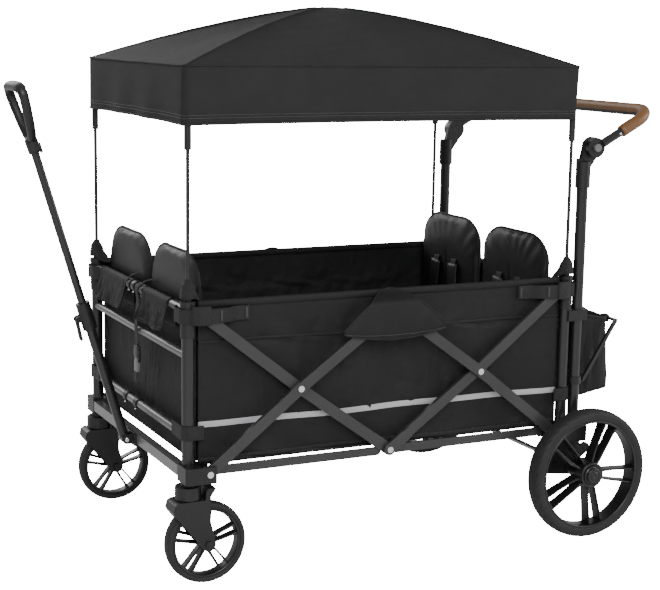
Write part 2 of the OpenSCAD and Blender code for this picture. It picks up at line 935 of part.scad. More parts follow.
// Clevis on the front bar for the pull handle
module pull_base() {
    bar_x = -post_x - 17 - seat;
    color("black") {
        difference() {
            union() {
                translate([bar_x - 5, -30, pull_z - 14]) cube([5, 60, 30]);
                both_sides() plate(pull_lug_y, 5) link2d([bar_x - pull_boss_r, pull_z], [-pull_x, pull_z], 2 * pull_boss_r);
            }
            y_rod(-pull_x, pull_z, pin_r + 0.05, -40, 40);
        }
    }
}

// Places the children, drawn with z along the pull handle, at its pivot
module pull_frame() {
    translate([-pull_x, 0, pull_z]) rotate([0, -pull_lean, 0]) children();
}

module pull_tube_lower() {
    color("black") pull_frame() difference() {
        union() {
            y_rod(0, 0, pull_boss_r, 0.5 - pull_lug_y, pull_lug_y - 0.5);
            cylinder(d = pull_outer_d, h = pull_outer_len);
        }
        y_rod(0, 0, pin_r + run, -20, 20);
        translate([0, 0, 14]) cylinder(r = pull_inner_r + run, h = pull_outer_len);
    }
}

lever_x = -clamp_r - 5;

module pull_clamp() {
    color("black") pull_frame() difference() {
        union() {
            translate([0, 0, clamp_low]) cylinder(r = clamp_r, h = clamp_top - clamp_low);
            both_sides() plate(6, 4) link2d([0, pull_outer_len], [lever_x, pull_outer_len], 14);
        }
        translate([0, 0, clamp_low - 1])
            cylinder(r = pull_outer_d / 2 + run, h = pull_outer_len - clamp_low + 1 + seat);
        translate([0, 0, clamp_low]) cylinder(r = pull_inner_r + run, h = clamp_top);
        y_rod(lever_x, pull_outer_len, 2.5 + run, -20, 20);
    }
}

module pull_lever() {
    color("black") pull_frame() {
        plate(-5.5, 11) {
            link2d([lever_x, pull_outer_len], [lever_x - 3, pull_outer_len - 6], 8);
            link2d([lever_x - 3, pull_outer_len - 6], [lever_x - 6, pull_outer_len - 46], 7);
        }
        y_rod(lever_x, pull_outer_len, 2.5, -10, 10);
    }
}

module pull_tube_upper() {
    low = pull_outer_len - 48;
    color("black") pull_frame() translate([0, 0, low]) difference() {
        cylinder(r = pull_inner_r, h = pull_grip_low + 12 - low);
        translate([0, 0, -1]) cylinder(r = pull_inner_r - 1.5, h = pull_grip_low + 14 - low);
    }
}

// Loop grip: a rounded frame, wider at the top, on a socket
module pull_grip() {
    t = grip_t;
    half = pull_grip_w / 2;
    bar = 11;
    z0 = pull_grip_low;
    color("black") pull_frame() difference() {
        union() {
            translate([0, 0, z0]) cylinder(r = pull_inner_r + 4, h = 32);
            rotate([90, 0, 90]) translate([0, 0, -t / 2]) linear_extrude(t) {
                link2d([0, z0 + 26], [0, z0 + 32], 26);
                for (s = [-1, 1]) link2d([s * 4, z0 + 28], [s * (half - bar), pull_len - 30], 2 * bar - 4);
                for (s = [-1, 1]) link2d([s * (half - bar), pull_len - 30], [s * (half - 22), pull_len - bar], 2 * bar - 2);
                link2d([-half + 22, pull_len - bar], [half - 22, pull_len - bar], 2 * bar);
            }
        }
        translate([0, 0, z0 - 1]) cylinder(r = pull_inner_r + run, h = 13.2);
    }
}

// Open cloth bag behind the push tubes
module basket_bag() {
    depth = basket_rim_x - wire_r - 0.3 - basket_x;
    half = post_y - 18;
    color("black") difference() {
        translate([basket_x, -half, basket_floor_z]) cube([depth, 2 * half, basket_top_z + 14 - basket_floor_z]);
        translate([basket_x + cloth_t, -half + cloth_t, basket_floor_z + cloth_t])
            cube([depth - 2 * cloth_t, 2 * (half - cloth_t), 400]);
    }
}

// Wire frame that holds the bag open, hinged on the push tubes
module basket_frame() {
    low = [basket_hinge_x, basket_pivot_z];
    top = [basket_rim_x, basket_top_z];
    y = wire_y - 1;
    color("black") {
        both_sides() {
            plate(y - wire_r, 2 * wire_r) link2d(low, top, 2 * wire_r);
            y_rod(low[0], low[1], wire_pin_r, y - 14, y);
        }
        y_rod(top[0], top[1], wire_r, -y, y);
    }
}

// Foot brake: a bar across the wheel mounts with a pedal
module brake_pedal() {
    half = post_y + 13;
    pedal_y = -150;
    color("black") {
        y_rod(brake_x, brake_z, brake_bar_r, -half, half);
        plate(pedal_y - 26, 52) link2d([brake_x, brake_z], [brake_x + 44, brake_z - 6], 9);
    }
}

placed() side_fabric_near();
placed() side_fabric_far();
placed() floor_mat();
placed() bottom_hinge_bolts();
placed() arms_front_inner();
placed() arms_front_outer();
placed() arms_rear_inner();
placed() arms_rear_outer();
placed() rivets_front();
placed() rivets_rear();
placed() floor_rails_front();
placed() floor_rails_rear();
placed() posts_front();
placed() caster_brackets();
placed() rails_front();
placed() front_panel();
placed() seat_backs_front();
placed() pivot_bolts_front();
placed() pull_base();
placed() front_strap();
placed() corners_front();
placed() tubes_front();
placed() seat_bases_front();
placed() seat_bases_rear();
placed() caster_fork_near();
placed() caster_fork_far();
placed() front_tyre_near();
placed() front_tyre_far();
placed() front_rim_near();
placed() front_rim_far();
placed() posts_rear();
placed() wheel_brackets();
placed() rails_rear();
placed() rear_panel();
placed() seat_backs_rear();
placed() pivot_bolts_rear();
placed() push_tubes();
placed() push_sockets();
placed() rear_axle();
placed() rear_tyre_near();
placed() rear_tyre_far();
placed() rear_rim_near();
placed() rear_rim_far();
placed() corners_rear();
placed() tubes_rear();
placed() push_handle_bar();
placed() push_grip();
placed() push_button_near();
placed() push_button_far();
placed() canopy_top();
placed() canopy_tubes_front();
placed() canopy_tubes_rear();
placed() pull_tube_lower();
placed() pull_clamp();
placed() pull_lever();
placed() pull_tube_upper();
placed() pull_grip();
placed() basket_bag();
placed() basket_frame();
placed() brake_pedal();
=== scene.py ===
# %% [markdown]
# # A folding wagon in cloth, tube and rubber
# The frame, the wheels and every hinge come from a imported model, already in place and in metres. This
# script dresses it: cloth on the tub, a canopy, padded seats, leather on the grip, tread on the tyres.
# The main places are read from the frame. The small pieces on the cloth and the rails, the finishes, the
# lamps and the camera were set one by one.

# %% Load the frame
import json
import math
import bpy
import bmesh
import numpy as np
from mathutils import Matrix, Vector

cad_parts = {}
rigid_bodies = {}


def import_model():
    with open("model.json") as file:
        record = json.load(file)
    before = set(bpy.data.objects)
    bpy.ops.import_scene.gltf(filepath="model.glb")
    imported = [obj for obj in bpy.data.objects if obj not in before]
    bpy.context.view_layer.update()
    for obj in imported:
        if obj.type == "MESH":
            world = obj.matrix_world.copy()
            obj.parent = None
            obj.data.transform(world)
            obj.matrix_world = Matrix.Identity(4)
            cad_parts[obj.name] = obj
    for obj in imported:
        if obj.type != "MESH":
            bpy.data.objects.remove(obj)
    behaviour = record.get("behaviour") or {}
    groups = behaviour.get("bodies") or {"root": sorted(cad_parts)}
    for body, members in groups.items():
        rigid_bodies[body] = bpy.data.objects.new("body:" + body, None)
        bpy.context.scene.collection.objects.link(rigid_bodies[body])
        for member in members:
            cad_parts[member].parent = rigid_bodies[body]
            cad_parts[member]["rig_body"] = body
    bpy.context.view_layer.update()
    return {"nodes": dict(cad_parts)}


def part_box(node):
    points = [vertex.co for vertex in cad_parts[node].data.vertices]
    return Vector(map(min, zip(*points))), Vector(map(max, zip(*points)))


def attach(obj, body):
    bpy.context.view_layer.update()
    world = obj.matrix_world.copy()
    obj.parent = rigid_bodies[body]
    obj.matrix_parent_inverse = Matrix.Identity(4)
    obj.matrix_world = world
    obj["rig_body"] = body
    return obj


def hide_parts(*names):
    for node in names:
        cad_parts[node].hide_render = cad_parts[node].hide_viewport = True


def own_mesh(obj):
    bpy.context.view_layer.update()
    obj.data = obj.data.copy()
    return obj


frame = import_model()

nodes = frame["nodes"]

# %% [markdown]
# ## Where things are
# The posts give the plan of the wagon. All later pieces are placed from these few values.

# %% Named places
def corners(node):
    """Lowest and highest corner of a frame node, as arrays."""
    lo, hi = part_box(node)
    return np.array(lo), np.array(hi)


post_lo, post_hi = corners("posts_front")
rear_lo, rear_hi = corners("posts_rear")
post_r = (post_hi[0] - post_lo[0]) / 2
front_x = (post_lo[0] + post_hi[0]) / 2
rear_x = (rear_lo[0] + rear_hi[0]) / 2
mid_x = (front_x + rear_x) / 2
post_y = post_hi[1] - post_r
wall_lo, wall_hi = corners("side_fabric_far")
mat_lo, mat_hi = corners("floor_mat")
rim_z = wall_hi[2]
tub_low = mat_lo[2]
print("posts at x", round(front_x, 3), round(rear_x, 3), "y", round(post_y, 3), "rim", round(rim_z, 3))

# %% [markdown]
# ## Making surfaces
# A shape is an array of points, worked out whole. One helper turns a grid of points into a mesh with a
# map in metres, so that a weave has the same size on every piece.

# %% Grid of points to mesh
def add_object(name, mesh, material, body):
    """Links a mesh as an object at the origin, gives it a material and lets it ride on a body."""
    piece = bpy.data.objects.new(name, mesh)
    bpy.context.scene.collection.objects.link(piece)
    mesh.materials.append(material)
    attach(piece, body)
    return piece


def surface(name, points, material, body, wrap=(False, False), ends=False):
    """Mesh of quads over a grid of points. wrap closes rows or columns; ends caps the end rows."""
    rows, columns = points.shape[:2]
    i, j = np.meshgrid(np.arange(rows - (not wrap[0])), np.arange(columns - (not wrap[1])), indexing="ij")
    down, right = (i + 1) % rows, (j + 1) % columns
    faces = np.stack([i * columns + j, down * columns + j, down * columns + right, i * columns + right],
                     -1)
    faces = faces.reshape(-1, 4).tolist()
    step_u = np.linalg.norm(np.roll(points, -1, 0) - points, axis=2).mean(1)
    step_v = np.linalg.norm(np.roll(points, -1, 1) - points, axis=2).mean(0)
    along_u = np.concatenate([[0], np.cumsum(step_u)])
    along_v = np.concatenate([[0], np.cumsum(step_v)])
    corner_uv = np.stack([
        np.stack([along_u[i], along_v[j]], -1), np.stack([along_u[i + 1], along_v[j]], -1),
        np.stack([along_u[i + 1], along_v[j + 1]], -1), np.stack([along_u[i], along_v[j + 1]], -1)], 2)
    uv = corner_uv.reshape(-1, 2)
    if ends:
        faces += [list(range(columns))[::-1], list(range((rows - 1) * columns, rows * columns))]
        uv = np.vstack([uv, np.zeros((2 * columns, 2))])
    mesh = bpy.data.meshes.new(name)
    mesh.from_pydata(points.reshape(-1, 3).tolist(), [], faces)
    mesh.uv_layers.new(name="UVMap").data.foreach_set("uv", uv.ravel())
    mesh.polygons.foreach_set("use_smooth", np.ones(len(faces), bool))
    if wrap[1] and (ends or wrap[0]):
        face_outwards(mesh)
    return add_object(name, mesh, material, body)


def face_outwards(mesh):
    """Turns every face of a closed mesh outwards."""
    work = bmesh.new()
    work.from_mesh(mesh)
    bmesh.ops.recalc_face_normals(work, faces=work.faces)
    work.to_mesh(mesh)
    work.free()


def wall(piece, thickness, offset=0.0, levels=0):
    """Gives an open surface its thickness, and smooths it if levels is above 0."""
    if levels:
        smoother = piece.modifiers.new("Smooth", "SUBSURF")
        smoother.levels = smoother.render_levels = levels
    solid = piece.modifiers.new("Wall", "SOLIDIFY")
    solid.thickness = thickness
    solid.offset = offset
    return piece


# %% Paths and sweeps
def unit(v):
    """Vectors scaled to length 1."""
    return v / np.linalg.norm(v, axis=-1, keepdims=True)


def through(points, count, closed=False):
    """Smooth curve (Catmull-Rom) through a few points, as count points."""
    p = np.asarray(points, float)
    if closed:
        p = np.vstack([p[-1], p, p[0], p[1]])
    else:
        p = np.vstack([2 * p[0] - p[1], p, 2 * p[-1] - p[-2]])
    t = np.linspace(0, len(p) - 3, count, endpoint=not closed)
    k = np.minimum(t.astype(int), len(p) - 4)
    f = (t - k)[:, None]
    a, b, c, d = p[k], p[k + 1], p[k + 2], p[k + 3]
    return 0.5 * (2 * b + (c - a) * f + (2 * a - 5 * b + 4 * c - d) * f**2 + (3 * b - a - 3 * c + d)
                  * f**3)


def superellipse(sides, square):
    """Unit outline: a circle for square = 1, nearing a square as it falls to 0."""
    a = np.linspace(0, 2 * np.pi, sides, endpoint=False) + np.pi / sides
    c, s = np.cos(a), np.sin(a)
    return np.sign(c) * np.abs(c)**square, np.sign(s) * np.abs(s)**square


def sweep(name, path, half_w, half_t, material, body, across=(0, 1, 0), sides=16, square=1.0,
          closed=False):
    """Carries an outline 2 half_w by 2 half_t along a path. The wide way stays near the vector across."""
    path = np.asarray(path, float)
    if closed:
        tangent = unit(np.roll(path, -1, 0) - np.roll(path, 1, 0))
    else:
        tangent = unit(np.gradient(path, axis=0))
    across = np.broadcast_to(np.asarray(across, float), path.shape)
    wide = unit(across - (across * tangent).sum(1, keepdims=True) * tangent)
    deep = np.cross(tangent, wide)
    c, s = superellipse(sides, square)
    half_w = np.broadcast_to(half_w, len(path))[:, None, None]
    half_t = np.broadcast_to(half_t, len(path))[:, None, None]
    points = path[:, None] + half_w * c[:, None] * wide[:, None] + half_t * s[:, None] * deep[:, None]
    return surface(name, points, material, body, wrap=(closed, True), ends=not closed)


def tube(name, path, radius, material, body, across=(0, 1, 0), closed=False, sides=16):
    """Round bar along a path."""
    return sweep(name, path, radius, radius, material, body, across, sides, 1.0, closed)


def strap(name, path, width, thickness, material, body, across=(0, 1, 0)):
    """Flat webbing along a path."""
    return sweep(name, path, width / 2, thickness / 2, material, body, across, 12, 0.35)


def turned(name, profile, centre, material, body, count=96, bump=None):
    """Turns a closed (radius, width) profile about Y through centre. bump adds to the radius."""
    angle = np.linspace(0, 2 * np.pi, count, endpoint=False)
    radius = np.broadcast_to(profile[:, 0], (count, len(profile))).copy()
    if bump is not None:
        radius += bump(angle[:, None], profile[None, :, 1], radius)
    x = centre[0] + radius * np.cos(angle)[:, None]
    z = centre[2] + radius * np.sin(angle)[:, None]
    y = np.broadcast_to(centre[1] + profile[:, 1], x.shape)
    return surface(name, np.stack([x, y, z], -1), material, body, wrap=(True, True))


def rounded_ring(a, b, radius, per_side):
    """Points round a rectangle of half sizes a and b. Corner k is at index k per_side."""
    def stops(half, turn):
        fine = np.linspace(0, 1, 6)[1:] * turn / half
        middle = np.linspace(-1 + turn / half, 1 - turn / half, per_side - 9)[1:-1]
        return np.concatenate([[-1], -1 + fine, middle, (1 - fine)[::-1]])
    s, t = stops(a, radius) * a, stops(b, radius) * b
    ring = np.concatenate([np.stack([s, -b + 0 * s], -1), np.stack([a + 0 * t, t], -1),
                           np.stack([-s, b + 0 * s], -1),
                           np.stack([-a + 0 * t, -t], -1)])
    inner = np.clip(ring, [radius - a, radius - b], [a - radius, b - radius])
    return inner + unit(ring - inner) * radius


def ripple(seed, waves, low, high, *axes):
    """Sum of sine waves in random directions, a smooth creased field over the given coordinates."""
    draw = np.random.default_rng(seed)
    field = 0.0
    for _ in range(waves):
        k = draw.uniform(low, high) * unit(draw.normal(size=len(axes)))
        field = field + np.sin(sum(a * b for a, b in zip(axes, k)) * 2 * np.pi + draw.uniform(0, 6.28))
    return field / math.sqrt(waves)


def smoothstep(x, a, b):
    """0 before a, 1 after b, smooth between."""
    t = np.clip((x - a) / (b - a), 0, 1)
    return t * t * (3 - 2 * t)


# %% [markdown]
# ## Finishes
# Three effects are shared: a weave of crossing threads, a fine grain and slow patches of wear. Each is a
# group that puts out a height or a mask, and each material uses it at its own scale.

# %% Shader groups
def new_group(name, inputs, outputs):
    """Empty shader group with named float or vector inputs and float outputs."""
    group = bpy.data.node_groups.new(name, "ShaderNodeTree")
    for label, kind in inputs:
        group.interface.new_socket(label, in_out="INPUT", socket_type=kind)
    for label in outputs:
        group.interface.new_socket(label, in_out="OUTPUT", socket_type="NodeSocketFloat")
    return group, group.nodes.new("NodeGroupInput"), group.nodes.new("NodeGroupOutput")


def math_node(tree, operation, a, b=None):
    """Math node whose inputs are sockets or numbers."""
    made = tree.nodes.new("ShaderNodeMath")
    made.operation = operation
    for socket, value in zip(made.inputs, (a, b)):
        if value is None:
            continue
        if isinstance(value, (int, float)):
            socket.default_value = value
        else:
            tree.links.new(value, socket)
    return made.outputs[0]


def build_weave():
    """Plain weave: height = |sin| ridges of warp and weft that pass over each other by turns."""
    tree, given, out = new_group(
        "weave", [("Place", "NodeSocketVector"), ("Threads", "NodeSocketFloat")],
                                 ["Height", "Threadwork"])
    apart = tree.nodes.new("ShaderNodeSeparateXYZ")
    tree.links.new(given.outputs["Place"], apart.inputs[0])
    waves = []
    for axis in range(2):
        turn = math_node(tree, "MULTIPLY", apart.outputs[axis], given.outputs["Threads"])
        waves.append(math_node(tree, "SINE", math_node(tree, "MULTIPLY", turn, 2 * math.pi)))
    crossing = math_node(tree, "MULTIPLY", waves[0], waves[1])
    ridges = math_node(tree, "ADD", math_node(tree, "ABSOLUTE", waves[0]),
                       math_node(tree, "ABSOLUTE", waves[1]))
    tree.links.new(math_node(tree, "ADD", crossing, math_node(tree, "MULTIPLY", ridges, 0.4)),
                   out.inputs["Height"])
    tree.links.new(math_node(tree, "ADD", math_node(tree, "MULTIPLY", crossing, 0.5), 0.5),
                   out.inputs["Threadwork"])
    return tree


def build_patches():
    """Slow noise for worn and dusty patches, and fine noise for grain."""
    tree, given, out = new_group(
        "patches", [("Place", "NodeSocketVector"), ("Patch", "NodeSocketFloat"),
                    ("Grain", "NodeSocketFloat")],
        ["Wear", "Grain"])
    for label, scale in (("Wear", "Patch"), ("Grain", "Grain")):
        noise = tree.nodes.new("ShaderNodeTexNoise")
        noise.inputs["Detail"].default_value = 4
        tree.links.new(given.outputs["Place"], noise.inputs["Vector"])
        tree.links.new(given.outputs[scale], noise.inputs["Scale"])
        tree.links.new(noise.outputs[0], out.inputs[label])
    return tree


weave_group = build_weave()
patch_group = build_patches()


# %% Material maker
def finish(name, dark, light, rough, rough_span=0.12, metallic=0.0, bump=0.1, depth=0.0004, grain=900,
           patch=9, threads=0, sheen=0.0, coat=0.0, coat_rough=0.3, specular=0.5, cell=False):
    """Material whose colour runs from dark to light over wear and grain, with a weave if threads is set."""
    material = bpy.data.materials.new(name)
    material.use_nodes = True
    tree = material.node_tree
    shader = tree.nodes["Principled BSDF"]
    place = tree.nodes.new("ShaderNodeTexCoord")
    patches = tree.nodes.new("ShaderNodeGroup")
    patches.node_tree = patch_group
    patches.inputs["Patch"].default_value = patch
    patches.inputs["Grain"].default_value = grain
    tree.links.new(place.outputs["Object"], patches.inputs["Place"])
    height, mask = patches.outputs["Grain"], patches.outputs["Grain"]
    if threads:
        weave = tree.nodes.new("ShaderNodeGroup")
        weave.node_tree = weave_group
        weave.inputs["Threads"].default_value = threads
        tree.links.new(place.outputs["UV"], weave.inputs["Place"])
        height = weave.outputs["Height"]
        mask = weave.outputs["Threadwork"]
    if cell:
        cells = tree.nodes.new("ShaderNodeTexVoronoi")
        cells.inputs["Scale"].default_value = cell
        tree.links.new(place.outputs["Object"], cells.inputs["Vector"])
        height = cells.outputs["Distance"]
    blend = math_node(tree, "ADD", math_node(tree, "MULTIPLY", patches.outputs["Wear"], 0.65),
                      math_node(tree, "MULTIPLY", mask, 0.35))
    ramp = tree.nodes.new("ShaderNodeValToRGB")
    ramp.color_ramp.elements[0].position = 0.3
    ramp.color_ramp.elements[0].color = (*dark, 1)
    ramp.color_ramp.elements[1].position = 0.72
    ramp.color_ramp.elements[1].color = (*light, 1)
    tree.links.new(blend, ramp.inputs[0])
    tree.links.new(ramp.outputs[0], shader.inputs["Base Color"])
    spread = tree.nodes.new("ShaderNodeMapRange")
    spread.inputs["To Min"].default_value = rough - rough_span / 2
    spread.inputs["To Max"].default_value = rough + rough_span / 2
    tree.links.new(blend, spread.inputs["Value"])
    tree.links.new(spread.outputs[0], shader.inputs["Roughness"])
    relief = tree.nodes.new("ShaderNodeBump")
    relief.inputs["Strength"].default_value = bump
    relief.inputs["Distance"].default_value = depth
    tree.links.new(height, relief.inputs["Height"])
    tree.links.new(relief.outputs[0], shader.inputs["Normal"])
    shader.inputs["Metallic"].default_value = metallic
    shader.inputs["Sheen Weight"].default_value = sheen
    shader.inputs["Sheen Roughness"].default_value = 0.5
    shader.inputs["Coat Weight"].default_value = coat
    shader.inputs["Coat Roughness"].default_value = coat_rough
    shader.inputs["Specular IOR Level"].default_value = specular
    return material


def grey(v):
    """Nearly neutral grey of value v, as a colour."""
    return v, v, v * 1.03


powder_coat = finish("powder_coat", grey(0.006), grey(0.011), 0.30, bump=0.10, depth=0.0002, grain=1400,
                     coat=0.1, specular=0.4)
arm_paint = finish("arm_paint", grey(0.020), grey(0.032), 0.34, bump=0.10, depth=0.0002, grain=1400,
                   metallic=0.2)
rail_paint = finish("rail_paint", grey(0.085), grey(0.13), 0.34, metallic=0.5, grain=1500, coat=0.1)
moulded = finish("moulded_plastic", grey(0.005), grey(0.010), 0.42, bump=0.2, depth=0.0003, grain=700,
                 specular=0.35)
grey_plastic = finish("grey_plastic", grey(0.07), grey(0.11), 0.4, bump=0.15, grain=700)
pad_rubber = finish("pad_rubber", grey(0.022), grey(0.035), 0.5, bump=0.2, grain=700)
chrome = finish("bolt_chrome", grey(0.55), grey(0.75), 0.22, metallic=1.0, grain=300)
zinc = finish("zinc_steel", grey(0.30), grey(0.45), 0.36, metallic=1.0, grain=500)
rubber = finish("tyre_rubber", grey(0.008), grey(0.017), 0.66, bump=0.3, depth=0.0005, grain=420,
                patch=22, specular=0.3)
rim_plastic = finish("rim_plastic", grey(0.005), grey(0.009), 0.36, bump=0.12, grain=600, coat=0.1,
                     specular=0.35)
tub_cloth = finish("tub_cloth", grey(0.0055), grey(0.0105), 0.62, threads=900, bump=0.30, depth=0.0005,
                   specular=0.2)
canopy_cloth = finish("canopy_cloth", grey(0.010), grey(0.016), 0.72, threads=650, bump=0.4, depth=0.0007,
                      specular=0.18)
seat_cloth = finish("seat_cloth", grey(0.004), grey(0.007), 0.42, threads=1000, bump=0.2, depth=0.0004,
                    specular=0.3)
webbing = finish("webbing", grey(0.007), grey(0.015), 0.62, threads=450, bump=0.6, depth=0.001,
                 specular=0.3)
piping_cloth = finish("piping_cloth", grey(0.004), grey(0.008), 0.55, threads=700, bump=0.4, depth=0.0006,
                      specular=0.25)
stitching = finish("stitch_thread", grey(0.020), grey(0.035), 0.6, threads=1200, bump=0.5, depth=0.0006)
tape = finish("reflective_tape", grey(0.30), grey(0.42), 0.35, threads=300, bump=0.3, depth=0.0004,
              metallic=0.3)
leather = finish("grip_leather", (0.088, 0.033, 0.004), (0.155, 0.061, 0.009), 0.46, bump=0.5,
                 depth=0.0007,
                 cell=420, coat=0.1, coat_rough=0.45)
seam_thread = finish("leather_seam", (0.006, 0.005, 0.004), (0.014, 0.011, 0.009), 0.7, bump=0.5,
                     grain=900)
print("materials:", len(bpy.data.materials))

# %% [markdown]
# ## The frame's own parts
# The hard parts keep the frame's shape. A moulded or drawn part never has a knife edge, so the arms, floor
# rails and moulded parts each get a copy with its edges rounded by a small bevel, which is what catches the
# light along a tube or bracket. The other tubes, the rails, bolts, axle and buttons keep their own mesh and
# only take a finish.

# %% Rounded copies of the hard parts
def rounded(node, width, material):
    """Copy of a frame node with merged faces and bevelled edges, which stands for the node."""
    source = nodes[node]
    work = bmesh.new()
    work.from_mesh(source.data)
    bmesh.ops.remove_doubles(work, verts=work.verts, dist=1e-6)
    bmesh.ops.dissolve_limit(work, angle_limit=math.radians(0.6), verts=work.verts, edges=work.edges)
    mesh = bpy.data.meshes.new(node + "_piece")
    work.to_mesh(mesh)
    work.free()
    mesh.polygons.foreach_set("use_smooth", np.ones(len(mesh.polygons), bool))
    piece = add_object(node + "_piece", mesh, material, source["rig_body"])
    bevel = piece.modifiers.new("Edges", "BEVEL")
    bevel.width = width
    bevel.segments = 2
    bevel.limit_method = "ANGLE"
    bevel.angle_limit = math.radians(38)
    bevel.harden_normals = False
    even = piece.modifiers.new("Shading", "WEIGHTED_NORMAL")
    even.keep_sharp = True
    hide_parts(node)
    return piece


hard_parts = [
    (arm_paint, "frame_black", 0.0014,
     ["arms_front_inner", "arms_front_outer", "arms_rear_inner", "arms_rear_outer",
                                  "floor_rails_front", "floor_rails_rear"]),
    (moulded, "plastic_black", 0.0016,
     ["caster_brackets", "wheel_brackets", "corners_front", "corners_rear",
                                        "push_sockets", "pull_base", "pull_clamp", "pull_lever",
      "brake_pedal",
                                        "caster_fork_near", "caster_fork_far"]),
]
for material, slot, width, names in hard_parts:
    for name in names:
        rounded(name, width, material)

plain_parts = [
    (powder_coat, ["posts_front", "posts_rear", "tubes_front", "tubes_rear", "push_tubes",
                   "canopy_tubes_front",
                   "canopy_tubes_rear", "pull_tube_lower", "pull_tube_upper", "push_handle_bar",
                   "basket_frame"]),
    (rail_paint, ["rails_front", "rails_rear"]),
    (chrome, ["bottom_hinge_bolts", "rivets_front", "rivets_rear", "pivot_bolts_front",
              "pivot_bolts_rear"]),
    (zinc, ["rear_axle"]),
    (grey_plastic, ["push_button_near", "push_button_far"]),
]
for material, names in plain_parts:
    for name in names:
        nodes[name].data.materials.clear()
        nodes[name].data.materials.append(material)
print("hard parts:", sum(len(p[3]) for p in hard_parts), "rounded")

# %% [markdown]
# ## Cloth that is held at its edges
# A tub wall is sewn a little longer than the gap it fills, and its own weight does the rest. The cloth
# solver starts from a rippled sheet, pinned round its edge, and lets it settle for a few frames.

# %% Settling a sheet or a pad
def settle(points, pinned, cap, frames=18, pressure=0.0, gravity=1.0, wrap=False, stiffness=12.0):
    """Runs the cloth solver on a grid of points and returns them moved by at most cap."""
    rows, columns = points.shape[:2]
    piece = surface("settling", points, tub_cloth, "tub", wrap=(False, wrap), ends=wrap)
    piece.parent = None
    moved = solve(piece, pinned.ravel(), frames, pressure, gravity, stiffness).reshape(points.shape)
    bpy.data.objects.remove(piece)
    return capped(points, moved, cap)


def capped(start, moved, cap):
    """Points moved from start, by no more than cap."""
    step = moved - start
    length = np.linalg.norm(step, axis=-1, keepdims=True)
    return start + step * np.minimum(1, cap / np.maximum(length, 1e-9))


def solve(piece, pinned, frames, pressure, gravity, stiffness):
    """Applies Blender's Cloth to a piece and returns where its points end up."""
    settings = piece.modifiers.new("Cloth", "CLOTH").settings
    group = piece.vertex_groups.new(name="pinned")
    group.add(np.nonzero(pinned)[0].tolist(), 1.0, "REPLACE")
    if pinned.any():
        settings.vertex_group_mass = "pinned"
    settings.quality = 5
    settings.mass = 0.25
    settings.tension_stiffness = settings.compression_stiffness = stiffness
    settings.bending_stiffness = 0.4
    settings.use_pressure = pressure > 0
    settings.uniform_pressure_force = pressure
    settings.effector_weights.gravity = gravity
    for frame_number in range(1, frames + 1):
        bpy.context.scene.frame_set(frame_number)
    result = piece.evaluated_get(bpy.context.evaluated_depsgraph_get()).data
    moved = np.empty(len(result.vertices) * 3)
    result.vertices.foreach_get("co", moved)
    bpy.context.scene.frame_set(1)
    return moved.reshape(-1, 3)


cloth_plane = (wall_lo[1] + wall_hi[1]) / 2
wall_x = np.linspace(wall_lo[0] + 0.001, wall_hi[0] - 0.001, 150)
wall_z = np.linspace(tub_low + 0.002, rim_z, 58)


def wall_sheet():
    """Side wall as a grid: y bulges out low down and creases towards the posts and the middle hinge."""
    x, z = np.meshgrid(wall_x, wall_z, indexing="ij")
    u = (x - wall_x[0]) / (wall_x[-1] - wall_x[0])
    v = (z - wall_z[0]) / (wall_z[-1] - wall_z[0])
    free = np.sin(np.pi * u)**0.5 * np.sin(np.pi * v)**0.6
    creases = ripple(3, 7, 4, 9, u * 2.2, v) * 0.0028 + ripple(8, 5, 10, 18, u * 2.2, v) * 0.0010
    inward = -0.006 * np.sin(np.pi * u) * smoothstep(v, 0.5, 0.9) * (1 - smoothstep(v, 0.97, 1.0))
    y = cloth_plane + free * creases + inward
    points = np.stack([x, y, z], -1)
    edge = np.zeros(x.shape, bool)
    edge[[0, -1], :] = True
    edge[:, [0, -1]] = True
    edge[:, 40] = True
    points = settle(points, edge, 0.010, frames=16)
    points[..., 1] = np.clip(points[..., 1], cloth_plane - 0.016, cloth_plane + 0.0065)
    return points


far_wall = wall_sheet()
near_wall = far_wall * [1, -1, 1]
for side, points in (("far", far_wall), ("near", near_wall)):
    piece = wall(surface("tub_wall_" + side, points, tub_cloth, "tub"), 0.0016)
    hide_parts("side_fabric_" + side)
    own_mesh(piece)
print("tub walls settled, bulge", round(float(far_wall[..., 1].max() - cloth_plane) * 1000, 1), "mm")

# %% [markdown]
# ## What is sewn on the walls
# A rolled hem closes the rim, a seam joins the upper band, a grey reflective tape runs low, and the arms
# show through a peaked flap that covers the top hinge.

# %% Hems, seams and tape that follow a wall
def along_wall(z, lift, count=150, low=0.0, high=1.0, wave=0.0):
    """Path on the far wall at height z, lifted off it, from a low to a high share of its length."""
    x = np.linspace(wall_x[0] + low * (wall_x[-1] - wall_x[0]),
                    wall_x[0] + high * (wall_x[-1] - wall_x[0]), count)
    height = z + wave * (np.sin((x - mid_x) * 11) + 0.6 * np.sin((x - mid_x) * 23 + 1))
    across = np.array([np.interp(height[k], wall_z, far_wall[np.abs(wall_x - x[k]).argmin(), :, 1])
                       for k in range(count)])
    kernel = np.ones(5) / 5
    smooth = np.convolve(np.pad(across, 2, "edge"), kernel, "valid")
    return np.stack([x, smooth + lift, height], -1)


def mirrored(path, side):
    """The path itself on the far side, or its mirror image on the near side."""
    return path * [1, 1 if side == "far" else -1, 1]


